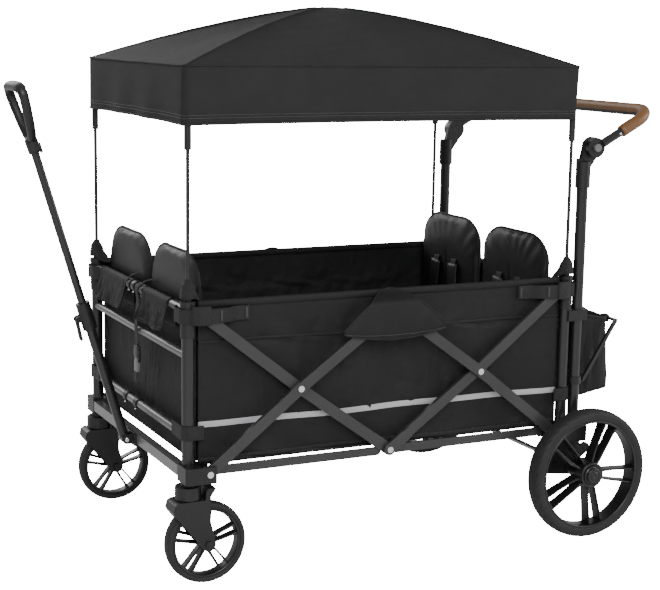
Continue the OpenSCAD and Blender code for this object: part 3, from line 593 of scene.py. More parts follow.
upper_seam_z = rim_z - 0.088
tape_z = tub_low + 0.088
for side in ("far", "near"):
    rim = sweep("rim_hem_" + side, mirrored(along_wall(rim_z - 0.008, 0.0), side), 0.0085, 0.0042,
                tub_cloth, "tub", across=(0, 0, 1), sides=14)
    seam = sweep("upper_seam_" + side, mirrored(along_wall(upper_seam_z, 0.0014, wave=0.0012), side),
                 0.0035, 0.0011,
                 piping_cloth, "tub", across=(0, 0, 1), sides=8)
    band = strap("reflective_tape_" + side, mirrored(along_wall(tape_z, 0.0016, wave=0.0016), side),
                 0.013, 0.0009,
                 tape, "tub", across=(0, 0, 1))
    foot = sweep("tub_foot_seam_" + side, mirrored(along_wall(tub_low + 0.012, 0.0012), side), 0.006,
                 0.0014,
                 piping_cloth, "tub", across=(0, 0, 1), sides=8)
    for piece, slot in ((rim, "body_fabric"), (seam, "body_fabric"), (band, "body_fabric"),
                        (foot, "body_fabric")):
        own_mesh(piece)

# %% Peaked flaps over the top hinges
arm_hi = corners("arms_rear_outer")[1]
flap_peak, flap_drop, flap_half = rim_z + 0.002, 0.084, 0.125


def flap_sheet(sign):
    """Flap: a pointed arch above, a sagging hem below, draped from the rim over the arms."""
    u = np.linspace(-1, 1, 71)[:, None] + np.zeros(34)
    v = np.linspace(0, 1, 34)[None, :] + np.zeros((71, 1))
    peak = flap_peak - flap_drop * np.abs(u)**1.6
    foot = flap_peak - flap_drop - 0.006 - 0.017 * (1 - u**2)
    z = peak + (foot - peak) * v
    x = mid_x + u * flap_half
    out = arm_hi[1] + 0.0055 - cloth_plane
    swell = smoothstep(flap_peak - z, 0.0, 0.030)
    fullness = 0.0040 * np.sin(np.pi * np.clip(v, 0, 1)) * (1 - u**2)
    waves = 0.0014 * np.sin(u * 15 + 3 * v) * v * (1 - u**2)
    y = cloth_plane + 0.005 + (out - 0.005) * swell + fullness + waves
    return np.stack([x, sign * y, z], -1)


for side, sign in (("far", 1), ("near", -1)):
    points = flap_sheet(sign)
    flap = wall(surface("hinge_flap_" + side, points, tub_cloth, "tub"), 0.0016)
    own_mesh(flap)
    edge = np.vstack([points[:, -1]]) + [0, sign * 0.0006, 0]
    piping = tube("hinge_flap_piping_" + side, edge, 0.0022, piping_cloth, "tub", across=(0, 1, 0),
                  sides=10)
    hem = points[:, -4] + [0, sign * 0.0016, 0]
    stitched = tube("hinge_flap_stitch_" + side, hem, 0.0008, stitching, "tub", sides=8)
    top = tube("hinge_flap_peak_seam_" + side, points[:, 0], 0.0020, piping_cloth, "tub", sides=10)
    for piece in (piping, stitched, top):
        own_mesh(piece)

# %% [markdown]
# ## Floor mat and end panels
# The mat is a thin quilted pad. The end panels hang between the cross rails.

# %% Floor mat
def mat_pad():
    """Closed pad as rings round the mat's section: crowned between quilting lines, thin at its edge."""
    x = np.linspace(mat_lo[0] + 0.003, mat_hi[0] - 0.003, 120)
    v = np.linspace(0, 1, 60, endpoint=False)
    half_y = post_y - post_r - 0.008
    c, s = np.cos(2 * np.pi * v), np.sin(2 * np.pi * v)
    y = half_y * np.sign(c) * np.abs(c)**0.35
    z_mid, half_t = (mat_lo[2] + mat_hi[2]) / 2, (mat_hi[2] - mat_lo[2]) / 2
    quilt = 0.72 + 0.28 * np.abs(np.sin((x[:, None] - mid_x) * np.pi / 0.149))**0.5
    z = z_mid + half_t * np.sign(s) * np.abs(s)**0.5 * quilt
    return np.stack([np.broadcast_to(x[:, None], z.shape), np.broadcast_to(y, z.shape), z], -1)


mat = surface("floor_pad", mat_pad(), tub_cloth, "tub", wrap=(False, True), ends=True)
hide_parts("floor_mat")
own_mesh(mat)

# %% End panels
def end_sheet(node, outward, seed):
    """End panel as a grid over its frame plane, bowed outward low down and creased."""
    lo, hi = corners(node)
    y, z = np.meshgrid(np.linspace(lo[1] + 0.001, hi[1] - 0.001, 110),
                       np.linspace(lo[2] + 0.001, hi[2] - 0.001, 60),
                       indexing="ij")
    u = (y - y.min()) / (y.max() - y.min())
    v = (z - z.min()) / (z.max() - z.min())
    free = (np.sin(np.pi * u) * np.sin(np.pi * v))**0.5
    x = (lo[0] + hi[0]) / 2 + outward * free * (0.004 + 0.0022 * ripple(seed, 7, 3, 8, u * 1.7, v))
    points = np.stack([x, y, z], -1)
    edge = np.zeros(x.shape, bool)
    edge[[0, -1], :] = True
    edge[:, [0, -1]] = True
    points = settle(points, edge, 0.006, frames=12)
    middle = (lo[0] + hi[0]) / 2
    points[..., 0] = np.clip(points[..., 0], middle - (0.004 if outward > 0 else 0.007),
                             middle + (0.007 if outward > 0 else 0.004))
    return points


for node, body, outward, seed in (("front_panel", "front_end", -1, 12),
                                  ("rear_panel", "rear_end", 1, 15)):
    points = end_sheet(node, outward, seed)
    lo, hi = corners(node)
    piece = wall(surface(node + "_cloth", points, tub_cloth, body), 0.0016)
    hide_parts(node)
print("end panels done")

# %% [markdown]
# ## Seats
# Four backrests and four cushions share two shapes. Each shape is a swollen outline: the thickness falls
# to a piped edge all round. The cloth solver then blows it up a little, and gathers and channels follow.

# %% Pads from an outline
def dome_outline(y0, y1, z0, z1, wide, tall, count):
    """Closed outline with straight sides and two shoulders, wide by tall, from the middle of its foot."""
    quarter = np.linspace(0, np.pi / 2, count // 6)
    right = np.stack([y1 - wide + wide * np.cos(quarter), z1 - tall + tall * np.sin(quarter)], -1)
    left = np.stack([y0 + wide - wide * np.sin(quarter), z1 - tall + tall * np.cos(quarter)], -1)
    foot = np.stack([[y0, (y0 + y1) / 2, y1], [z0, z0, z0]], -1)
    outline = np.vstack([foot[1:], right, left, foot[:1]])
    step = np.linalg.norm(np.roll(outline, -1, 0) - outline, axis=1)
    where = np.concatenate([[0], np.cumsum(step)])
    closed = np.vstack([outline, outline[:1]])
    at = np.linspace(0, where[-1], count, endpoint=False)
    return np.stack([np.interp(at, where, closed[:, k]) for k in range(2)], -1)


def pad_rings(outline, half_t, rings=15, soft=0.45):
    """Closed pad: rings shrink to the middle on both faces; half thickness = (1 - r^4)^soft."""
    centre = outline.mean(0)
    share = np.sin(np.linspace(0.02, 1, rings) * np.pi / 2)
    share = np.concatenate([share[:-1], share[-1:], share[:-1][::-1]])
    sign = np.concatenate([np.ones(rings - 1), [0], -np.ones(rings - 1)])
    depth = half_t * sign * np.maximum(1 - share**4, 0)**soft
    flat = centre + share[:, None, None] * (outline - centre)
    return np.concatenate([np.broadcast_to(depth[:, None, None], flat.shape[:2] + (1,)), flat], -1)


def blown(points, cap, pressure=3.5):
    """Pad blown up by the cloth solver, by at most cap."""
    piece = surface("blowing", points, seat_cloth, "front_end", wrap=(False, True), ends=True)
    piece.parent = None
    none = np.zeros(points.shape[0] * points.shape[1], bool)
    moved = solve(piece, none, 14, pressure, 0.0, 15.0).reshape(points.shape)
    bpy.data.objects.remove(piece)
    return capped(points, moved, cap)


back_lo, back_hi = corners("seat_backs_rear")
base_lo, base_hi = corners("seat_bases_rear")
gap = 0.004
back_t = back_hi[0] - back_lo[0]
inset = 0.005
back_outline = dome_outline(gap + inset, back_hi[1] - inset, back_lo[2] + inset, back_hi[2] - inset,
                            0.098, 0.068, 150)
back_pad = blown(pad_rings(back_outline, back_t / 2 - 0.004), 0.005)
edge_share = np.linalg.norm(back_pad[..., 1:] - back_outline.mean(0), axis=2)
angle = np.arctan2(back_pad[..., 2] - back_outline.mean(0)[1], back_pad[..., 1] - back_outline.mean(0)[0])
rim_near = smoothstep(edge_share / edge_share.max(1).max(), 0.55, 0.9)
upper_part = smoothstep(back_pad[..., 2], back_lo[2] + 0.16, back_hi[2])
gathers = 0.0016 * np.sin(angle * 26 + 2 * np.sin(angle * 5)) * rim_near * upper_part
inner_face = back_pad[..., 0] < -0.002
back_pad[..., 0] -= gathers * inner_face
channels = 0.0022 * np.exp(-((back_pad[..., 1] - (gap + back_hi[1]) / 2) / 0.0035)**2)
channel_foot = smoothstep(back_pad[..., 2], back_lo[2] + 0.02, back_lo[2] + 0.06)
channel_top = 1 - smoothstep(back_pad[..., 2], back_hi[2] - 0.12, back_hi[2] - 0.08)
back_pad[..., 0] += inner_face * channels * channel_foot * channel_top

base_t = base_hi[2] - base_lo[2] - 0.004
base_depth = base_hi[0] - base_lo[0] - 0.006
base_outline = dome_outline(gap + inset, base_hi[1] - inset, 0.0, base_depth - 0.006, 0.030, 0.030, 130)
base_pad = blown(pad_rings(base_outline, base_t / 2 - 0.005), 0.006)


def place_pad(name, points, piped, body, replaced, radius=0.0032):
    """Adds a pad with its piping as pieces on a body."""
    piece = surface(name, points, seat_cloth, body, wrap=(False, True), ends=True)
    smoother = piece.modifiers.new("Smooth", "SUBSURF")
    smoother.levels = smoother.render_levels = 1
    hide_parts(replaced)
    cord = tube(name + "_piping", piped, radius, piping_cloth, body, across=(1, 0, 0), closed=True,
                sides=10)


rim_row = back_pad.shape[0] // 2
ends = [("front", -1, "front_end", "seats_front"), ("rear", 1, "rear_end", "seats_rear")]
for end, sign, end_body, seat_body in ends:
    back_middle = mid_x + sign * ((back_lo[0] + back_hi[0]) / 2 - mid_x)
    base_x = mid_x + sign * (base_lo[0] + 0.003 - mid_x)
    base_middle = (base_lo[2] + base_hi[2]) / 2 - 0.002
    for side, across in (("far", 1), ("near", -1)):
        points = np.stack([back_middle + sign * back_pad[..., 0], across * back_pad[..., 1],
                           back_pad[..., 2]], -1)
        ring = points[rim_row]
        place_pad(f"backrest_{end}_{side}", points, ring, end_body, "seat_backs_" + end)
        points = np.stack([base_x + sign * (base_depth - 0.006 - base_pad[..., 2]),
                           across * base_pad[..., 1], base_middle + base_pad[..., 0]], -1)
        ring = points[rim_row]
        place_pad(f"cushion_{end}_{side}", points, ring, seat_body, "seat_bases_" + end, 0.0028)
print("seat pads:", back_pad.shape, base_pad.shape)

# %% [markdown]
# ## Harnesses
# Each child has two shoulder straps that come out of slots in the backrest and meet a buckle on the
# cushion. They are flat webbing, so they are drawn straight as ribbons along a hanging curve.

# %% Shoulder straps and buckles
def harness(end, sign, end_body, side, across):
    """Two straps with pads on one backrest, and a waist buckle."""
    face = mid_x + sign * (back_lo[0] - mid_x)
    middle = across * (gap + back_hi[1]) / 2
    for index, spread in enumerate((-1, 1)):
        y = middle + spread * 0.042
        path = through([
            [face - sign * -0.004, y, back_hi[2] - 0.118], [face - sign * 0.005, y, back_hi[2] - 0.122],
            [face - sign * 0.010, y + spread * 0.004, back_hi[2] - 0.18],
            [face - sign * 0.011, y + spread * 0.012, back_lo[2] + 0.10],
            [face - sign * 0.018, y + spread * 0.020, back_lo[2] + 0.045],
            [face - sign * 0.030, y + spread * 0.004, back_lo[2] + 0.018]], 40)
        name = f"shoulder_strap_{end}_{side}_{index}"
        band = strap(name, path, 0.024, 0.0016, webbing, end_body)
        pad = sweep(name + "_pad", path[9:24], 0.021, 0.0042, seat_cloth, end_body, sides=14, square=0.6)
        for piece in (band, pad):
            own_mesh(piece)
    buckle = through([[face - sign * 0.026, middle, back_lo[2] + 0.010],
                      [face - sign * 0.034, middle, back_lo[2] + 0.014],
                      [face - sign * 0.044, middle, back_lo[2] + 0.012]], 12)
    width = 0.021 + 0.004 * np.sin(np.linspace(0, np.pi, 12))
    piece = sweep(f"buckle_{end}_{side}", buckle, width, 0.0062, moulded, end_body, sides=20, square=0.5)
    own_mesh(piece)


for end, sign, end_body, seat_body in ends:
    for side, across in (("far", 1), ("near", -1)):
        harness(end, sign, end_body, side, across)

# %% [markdown]
# ## Canopy
# The roof is one continuous sheet over four corner tubes: its hips bow up to a peak, the panels between
# them sink a little, and the edge turns down into a straight valance. A square grid carries it all: rings
# of the square shrink towards the peak, so the hips are lines of the grid.

# %% Canopy sheet
can_lo, can_hi = corners("canopy_top")
hem_z, peak_z = can_lo[2], can_hi[2]
roof_z = corners("canopy_tubes_front")[1][2] + 0.006
half_x, half_y = (can_hi[0] - can_lo[0]) / 2, (can_hi[1] - can_lo[1]) / 2
can_x = (can_hi[0] + can_lo[0]) / 2
per_side = 44


def canopy_points():
    """Rows from the hem up the valance and over the roof to the peak."""
    low = np.linspace(0, 1, 20, endpoint=False)
    rho = 1 - np.linspace(0, 1, 44)**1.1 * 0.994
    rows = []
    for v in low:
        ring = rounded_ring(half_x, half_y, 0.016, per_side)
        along = np.arctan2(ring[:, 1], ring[:, 0])
        mid = 1 - np.abs(np.tile(np.linspace(-1, 1, per_side, endpoint=False), 4))**2
        wave = 0.0018 * np.sin(along * 17 + 1.3) * (1 - v) + 0.0030 * (1 - v) * mid
        rows.append(np.column_stack([ring * (1 - 0.006 * (1 - v) + wave[:, None] / half_y),
                                     hem_z + (roof_z - hem_z) * v + 0.004 * mid * (1 - v)]))
    for r in rho:
        ring = rounded_ring(half_x * r, half_y * r, 0.016 * r, per_side)
        mid = 1 - np.abs(np.tile(np.linspace(-1, 1, per_side, endpoint=False), 4))**1.4
        rise = (peak_z - roof_z) * (1 - r**1.42)
        sag = 0.013 * mid * np.sin(np.pi * np.clip(r, 0, 1)) ** 1.2
        crease = 0.0012 * np.sin(r * 40 + np.arctan2(ring[:, 1], ring[:, 0]) * 9) * r * (1 - r)
        rows.append(np.column_stack([ring, roof_z + rise - sag + crease]))
    return np.array(rows) + [can_x, 0, 0]


canopy_grid = canopy_points()
canopy = surface("canopy_sheet", canopy_grid, canopy_cloth, "canopy_front", wrap=(False, True))
wall(canopy, 0.0014, levels=0)
cut = (2 * half_x + 2 * (roof_z - hem_z), 2 * half_y + 2 * (roof_z - hem_z))
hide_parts("canopy_top")
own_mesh(canopy)

# %% Canopy seams, hem and stitching
def canopy_line(row, lift, name, radius, material, flat=1.0):
    """Cord along one row of the canopy's grid, lifted off its face."""
    ring = canopy_grid[row]
    away = unit((ring - [can_x, 0, 0]) * [1, 1, 0])
    path = ring + away * lift
    piece = sweep(name, path, radius, radius * flat, material, "canopy_front", across=(0, 0, 1), sides=8,
                  closed=True)
    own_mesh(piece)


canopy_line(0, 0.0004, "canopy_hem", 0.0030, canopy_cloth, 0.6)
canopy_line(2, 0.0010, "canopy_stitch_low", 0.0007, stitching)
canopy_line(3, 0.0010, "canopy_stitch_high", 0.0007, stitching)
canopy_line(20, 0.0006, "canopy_edge_seam", 0.0021, canopy_cloth)
for index in range(4):
    hip = canopy_grid[20:-2, index * per_side] + [0, 0, 0.0008]
    piece = tube(f"canopy_hip_seam_{index}", hip, 0.0019, canopy_cloth, "canopy_front",
                 across=(0.6, 0.8, 0), sides=8)
    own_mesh(piece)
button = turned("canopy_peak_button",
                np.array([[0.0005, 0.002], [0.008, 0.0016], [0.011, 0.0], [0.008, -0.002],
                          [0.0005, -0.002]]),
                np.zeros(3), canopy_cloth, "canopy_front", 32)
turn = Matrix.Translation((can_x, 0, peak_z - 0.003)) @ Matrix.Rotation(math.radians(90), 4, "X")
button.data.transform(turn)
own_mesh(button)

# %% [markdown]
# ## Cloth and webbing on the frame
# Two flaps fold over the front crossbar and hang free. Between them the bar carries a strap with a
# side-release buckle. Webbing ties the rim to each corner, and a cloth hood covers the foot of each rod.

# %% Flaps over the front bar
rail_r = 0.009
bar_x = front_x
bar_z = 0.588
front_face = bar_x - rail_r


def over_bar(half_width, drop, seed):
    """Cloth that runs up behind the bar, over it and down in front, lifting off at its free edge."""
    up = np.stack([np.full(8, rail_r + 0.001), np.linspace(-0.055, 0, 8)], -1)
    arc = np.linspace(0, np.pi, 14)
    over = np.stack([np.cos(arc), np.sin(arc)], -1) * (rail_r + 0.0014)
    fall = np.linspace(0, 1, 26)[1:]
    down = np.stack([-(rail_r + 0.0014) - 0.010 * fall**1.3, -drop * fall], -1)
    profile = np.vstack([up, over, down])
    t = np.linspace(-1, 1, 44)
    free = np.concatenate([np.zeros(len(up) + len(over)), fall])
    curl = 0.010 * np.abs(t[None, :])**3 * free[:, None]**1.4 * np.where(t > 0, 1.0, 0.45)
    waves = (0.0030 * np.sin(t[None, :] * 5 + seed) + 0.0016
             * ripple(seed, 5, 1, 3, t[None, :] * 1.5, free[:, None])) * free[:, None]
    x = profile[:, None, 0] - curl + waves
    z = profile[:, None, 1] + 0.006 * np.abs(t[None, :])**2 * free[:, None]
    y = np.broadcast_to(t * half_width, x.shape) * (1 - 0.05 * free[:, None])
    return np.stack([bar_x + x, y, bar_z + z], -1)


for name, centre_y, half_width, seed in (("far", 0.155, 0.094, 2), ("near", -0.138, 0.078, 6)):
    points = over_bar(half_width, 0.063, seed) + [0, centre_y, 0]
    flap = wall(surface("bar_flap_" + name, points, tub_cloth, "front_end"), 0.0018)
    border = np.vstack([points[14:, 0], points[-1, 1:-1], points[14:, -1][::-1]])
    tube("bar_flap_edge_" + name, border, 0.0017, piping_cloth, "front_end", sides=8)
    stitch = points[20:, 3:-3]
    lines = np.vstack([stitch[:, 0], stitch[-3, 1:-1], stitch[:, -1][::-1]]) - [0.0014, 0, 0]
    tube("bar_flap_stitch_" + name, lines, 0.0006, stitching, "front_end", sides=6)

# %% Clips on the rails
low_rail_z = 0.320
clip_spots = [("bar", 0.046, bar_z, 0.0105), ("bar", 0.014, bar_z, 0.0095),
              ("bar", -0.046, bar_z, 0.0105),
              ("low", 0.078, low_rail_z, 0.0100), ("low", 0.004, low_rail_z, 0.0100)]
for index, (kind, y, z, half) in enumerate(clip_spots):
    angle = np.linspace(0, 2 * np.pi, 30, endpoint=False)
    ring = np.stack([bar_x + (rail_r + 0.0016) * np.cos(angle), np.full(30, y),
                     z + (rail_r + 0.0016) * np.sin(angle)], -1)
    clip = sweep(f"rail_clip_{index}", ring, half, 0.0016, moulded, "front_end", across=(0, 1, 0),
                 sides=12, square=0.4, closed=True)
    stud = turned(f"rail_stud_{index}",
                  np.array([[0.0003, -0.002], [0.0030, -0.002], [0.0030, 0.0005], [0.0003, 0.0016]]),
                  np.zeros(3), chrome, "front_end", 18)
    turn = Matrix.Translation((bar_x - rail_r * 0.5 - 0.003, y,
                               z - rail_r - 0.004)) @ Matrix.Rotation(math.radians(180), 4, "X")
    stud.data.transform(turn @ Matrix.Rotation(math.radians(90), 4, "X"))
for index, y in enumerate((0.050, -0.042)):
    hook = through([[bar_x - 0.010, y, bar_z + 0.006], [bar_x - 0.002, y - 0.006, bar_z + 0.019],
                    [bar_x + 0.014, y - 0.018, bar_z + 0.024],
                    [bar_x + 0.030, y - 0.028, bar_z + 0.016], [bar_x + 0.034, y - 0.030, bar_z + 0.002]],
                   26)
    tube(f"bar_hook_{index}", hook, 0.0021, moulded, "front_end", sides=10)

# %% Strap and side-release buckle
strap_lo, strap_hi = corners("front_strap")
strap_y = (strap_lo[1] + strap_hi[1]) / 2
mid_z = 0.493
out = front_face - 0.0026
path = through([[bar_x + rail_r + 0.002, strap_y, bar_z - 0.004],
                [bar_x + 0.004, strap_y, bar_z + rail_r + 0.003],
                [bar_x - rail_r - 0.002, strap_y, bar_z + 0.002],
                [out + 0.004, strap_y + 0.001, bar_z - 0.030],
                [out, strap_y + 0.002, mid_z + 0.016], [out - 0.0008, strap_y, mid_z],
                [out + 0.001, strap_y - 0.001, mid_z - 0.030],
                [out, strap_y - 0.004, mid_z - 0.036]], 70)
band = strap("hanging_strap", path, 0.020, 0.0017, webbing, "front_end")
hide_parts("front_strap")
buckle_z = mid_z - 0.034 - np.linspace(0, 0.058, 18)
share = np.linspace(0, 1, 18)
shoulder = 0.0022 * np.exp(-((share - 0.25) / 0.10)**2)
waist = 0.0022 * np.exp(-((share - 0.55) / 0.10)**2)
width = 0.0125 + shoulder - waist
thick = 0.0046 - 0.0010 * np.exp(-((share - 0.5) / 0.05)**2)
middle = np.stack([np.full(18, out - 0.0004), np.full(18, strap_y - 0.005), buckle_z], -1)
for name, part, plastic in (("side_buckle_socket", slice(0, 9), moulded),
                            ("side_buckle_tongue", slice(8, 18), grey_plastic)):
    body = sweep(name, middle[part], width[part], thick[part], plastic, "front_end", sides=20, square=0.4)
for sign in (-1, 1):
    prong = middle[3:11] + np.stack([np.zeros(8),
                                     sign * (0.0128 + 0.0020 * np.sin(np.pi * share[3:11] / 0.62)),
                                     np.zeros(8)], -1)
    sweep(f"side_buckle_prong_{sign}", prong, 0.0022, 0.0034, moulded, "front_end", sides=10,
                  square=0.6)
tail = through([middle[-1] + [0, 0, 0.004], middle[-1] + [-0.004, 0.001, -0.012],
                middle[-1] + [-0.002, 0.004, -0.026]], 16)
strap("hanging_strap_tail", tail, 0.018, 0.0016, webbing, "front_end")

# %% Straps that tie the rim to the corners
sleeve_r = 0.0175
tie_z, tie_h = 0.579, 0.031


def tie_path(sign_x, sign_y):
    """Round the outside of a corner sleeve, past the arm's pivot and back to the wall."""
    post = np.array([front_x if sign_x < 0 else rear_x, post_y])
    arc = np.radians(np.linspace(200, 90, 16))
    round_post = post + (sleeve_r + 0.0022) * np.stack([np.cos(arc), np.sin(arc)], -1)
    arm_out = corners("arms_front_inner")[1][1] + 0.0062
    start = np.array([[post[0] - 0.004, post_y - 0.052], [post[0] - sleeve_r - 0.001, post_y - 0.030]])
    run_on = np.array([[post[0] + 0.020, arm_out], [post[0] + 0.050, arm_out],
                       [post[0] + 0.078, arm_out - 0.006],
                       [post[0] + 0.104, wall_hi[1] + 0.006], [post[0] + 0.134, wall_hi[1] + 0.0045]])
    flat = through(np.vstack([start, round_post[::3], run_on]), 80)
    flat[:, 0] = np.where(sign_x < 0, flat[:, 0], 2 * post[0] - flat[:, 0])
    return np.column_stack([flat[:, 0], sign_y * flat[:, 1], np.full(80, tie_z)])


for end, sign_x in (("front", -1), ("rear", 1)):
    for side, sign_y in (("far", 1), ("near", -1)):
        path = tie_path(sign_x, sign_y)
        name = f"{end}_{side}"
        band = strap("corner_tie_" + name, path, tie_h, 0.0022, webbing, end + "_corners",
                     across=(0, 0, 1))
        keeper = strap("corner_keeper_" + name, path[47:58] + [0, sign_y * 0.0012, 0.002], tie_h + 0.009,
                       0.0050, webbing,
                       end + "_corners", across=(0, 0, 1))
        pieces = [band, keeper]
        for index, cut in enumerate((62, 77)):
            place = path[cut:cut + 2] + [0, sign_y * 0.0016, 0]
            pieces.append(sweep(f"corner_tie_stitch_{name}_{index}", place, tie_h / 2 - 0.003, 0.0008,
                                stitching,
                                end + "_corners", across=(0, 0, 1), sides=8, square=0.5))
        for piece in pieces:
            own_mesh(piece)

# %% Hoods at the feet of the rods
cap_top = corners("corners_front")[1][2]


def hood_points(x, y, lean_x, lean_y, seed):
    """Cloth drawn up round the rod above the cap, with a tail that leans to the inside and down."""
    rows = []
    toward = math.atan2(lean_y, lean_x)
    for v in np.linspace(0, 1, 26):
        angle = np.linspace(0, 2 * np.pi, 64, endpoint=False)
        neck = 0.0150 - 0.0062 * smoothstep(v, 0.62, 1.0) - 0.0030 * smoothstep(v, 0.2, 0.5)
        radius = neck + 0.0012 * np.sin(np.pi * v)
        wide_folds = 0.035 * np.sin(angle * 5 + seed + 2 * v) * np.sin(np.pi * v)
        folds = 1 + wide_folds + 0.015 * np.sin(angle * 9 + seed)
        inner = np.maximum(0, np.cos(angle - toward))**2 * 0.020 * (1 - v)**2.4
        reach = radius * folds + inner
        low = 0.016 * np.maximum(0, np.cos(angle - toward))**2 * (1 - v)
        rows.append(np.stack([x + reach * np.cos(angle), y + reach * np.sin(angle),
                              cap_top - 0.006 - low + 0.036 * v], -1))
    return np.array(rows)


for end, sign_x, x in (("front", 1, front_x), ("rear", -1, rear_x)):
    for side, sign_y in (("far", 1), ("near", -1)):
        points = hood_points(x, sign_y * post_y, sign_x, -sign_y, 3 * sign_x + sign_y)
        hood = wall(surface(f"rod_hood_{end}_{side}", points, webbing, end + "_corners",
                            wrap=(False, True)), 0.0018)
        brim = tube(f"rod_hood_brim_{end}_{side}", points[0], 0.0022, webbing, end + "_corners",
                    across=(0, 0, 1), closed=True, sides=8)

# %% Wraps low on the posts
wrap_z = 0.331
for end, sign_x, x in (("front", -1, front_x), ("rear", 1, rear_x)):
    for side, sign_y in (("far", 1), ("near", -1)):
        arc = np.radians(np.linspace(185, 85, 14))
        turn = np.array([x, post_y]) + (post_r + 0.0022) * np.stack([sign_x * -np.cos(arc), np.sin(arc)],
                                                                    -1)
        low = [x + sign_x * (post_r + 0.001), post_y - 0.036]
        high = [x - sign_x * 0.030, post_y + post_r + 0.0015]
        flat = through(np.vstack([[low[0], low[1] - 0.022], low, turn[::3], high]), 50)
        path = np.column_stack([flat[:, 0], sign_y * flat[:, 1], np.full(50, wrap_z)])
        wrap = strap(f"post_wrap_{end}_{side}", path, 0.031, 0.0024, webbing, end + "_end",
                     across=(0, 0, 1))
print("cloth on the frame done")

# %% [markdown]
# ## Wheels
# A tyre is a turned section with lugs cut into its shoulders. The rim is a lipped band, a hub with ringed
# faces and five pairs of blades that splay towards the band.

# %% Tyres
def tyre_section(outer, seat, half_w, count=44):
    """Closed section of a tyre: round crown, straight cheeks with a raised ring, and a seat on the rim."""
    a = np.linspace(0, np.pi, count)
    crown = seat + (outer - seat) * (0.42 + 0.58 * np.sin(a)**0.62)
    side = half_w * np.cos(a)
    cheek = np.array([[seat + 0.30 * (outer - seat), -0.985 * half_w],
                      [seat + 0.12 * (outer - seat), -0.93 * half_w],
                      [seat, -0.90 * half_w], [seat - 0.0008, 0], [seat, 0.90 * half_w],
                      [seat + 0.12 * (outer - seat), 0.93 * half_w],
                      [seat + 0.30 * (outer - seat), 0.985 * half_w]])
    return np.vstack([np.stack([crown, side], -1), cheek])


def lugs(outer, half_w, blocks, depth):
    """Cuts between shoulder blocks, half a step apart on the two sides, and two grooves in the crown."""
    def cut(angle, y, radius):
        share = np.abs(y) / half_w
        turn = angle * blocks / (2 * np.pi) + np.where(y > 0, 0.5, 0.0) + 0.9 * share
        slot = smoothstep(np.abs((turn % 1) - 0.5), 0.40, 0.45)
        zone = smoothstep(share, 0.52, 0.62) * smoothstep(radius, outer - 0.45 * half_w,
                                                          outer - 0.25 * half_w)
        groove = np.exp(-((share - 0.30) / 0.045)**2)
        return -depth * (slot * zone + 0.45 * groove)
    return cut


wheels = [("front", 0.013, 30, 0.0009, 160), ("rear", 0.024, 34, 0.0024, 272)]
for end, wall_depth, blocks, depth, count in wheels:
    for side in ("near", "far"):
        node = f"{end}_tyre_{side}"
        lo, hi = corners(node)
        outer, half_w = (hi[2] - lo[2]) / 2, (hi[1] - lo[1]) / 2
        section = tyre_section(outer, outer - wall_depth, half_w)
        tread = lugs(outer, half_w, blocks, depth)
        tyre = turned(node + "_rubber", section, (lo + hi) / 2, rubber, nodes[node]["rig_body"], count,
                      tread)
        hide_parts(node)

# %% Rims
def rim_band(seat, half_w):
    """Closed section of the rim's band, with a lip on both faces."""
    return np.array([
        [seat, -half_w + 0.001], [seat, half_w - 0.001], [seat - 0.0012, half_w], [seat - 0.0046, half_w],
        [seat - 0.0056, half_w - 0.002], [seat - 0.0062, half_w - 0.006], [seat - 0.0066, 0],
        [seat - 0.0062, -half_w + 0.006], [seat - 0.0056, -half_w + 0.002], [seat - 0.0046, -half_w],
        [seat - 0.0012, -half_w]])


def hub_section(radius, bore, half_w):
    """Closed section of the hub: raised outer ring, sunk ring and raised boss on both faces."""
    face = np.array([[radius, 0.62], [radius, 0.86], [radius * 0.96, 0.90], [radius * 0.80, 0.92],
                     [radius * 0.76, 0.86],
                     [radius * 0.62, 0.86], [radius * 0.58, 0.97], [radius * 0.54, 1.0],
                     [bore + 0.001, 1.0], [bore, 0.98]])
    top = np.column_stack([face[:, 0], face[:, 1] * half_w])
    return np.vstack([top, (top * [1, -1])[::-1]])


for end, hub_r, bore, root, tip, first in (("front", 0.016, 0.0055, 0.0062, 0.0100, 18),
                                           ("rear", 0.030, 0.0065, 0.0100, 0.0165, -8)):
    for side in ("near", "far"):
        node = f"{end}_rim_{side}"
        lo, hi = corners(node)
        centre, body = (lo + hi) / 2, nodes[node]["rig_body"]
        seat = (hi[2] - lo[2]) / 2
        band_half = (corners(f"{end}_tyre_{side}")[1][1] - centre[1]) - 0.002
        band = turned(node + "_band", rim_band(seat, band_half), centre, rim_plastic, body, 128)
        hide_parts(node)
        hub = turned(node + "_hub", hub_section(hub_r, bore, (hi[1] - lo[1]) / 2), centre, rim_plastic,
                     body, 64)
        pieces = [band, hub]
        for pair in range(5):
            turn = math.radians(72 * pair + first)
            out = np.array([math.cos(turn), 0, math.sin(turn)])
            over = np.array([-math.sin(turn), 0, math.cos(turn)])
            for fork in (-1, 1):
                reach = np.linspace(hub_r * 0.72, seat - 0.004, 14)
                share = (reach - reach[0]) / (reach[-1] - reach[0])
                splay = fork * (root + (tip - root) * share - root * 0.45 * (1 - share)**5)
                path = centre + reach[:, None] * out + splay[:, None] * over
                width = band_half * (0.80 - 0.10 * np.sin(np.pi * share))
                thick = 0.0021 + 0.0014 * (1 - share)**4 + 0.0012 * share**6
                name = f"{node}_blade_{pair}_{fork}"
                pieces.append(sweep(name, path, width, thick, rim_plastic, body, sides=14, square=0.4))

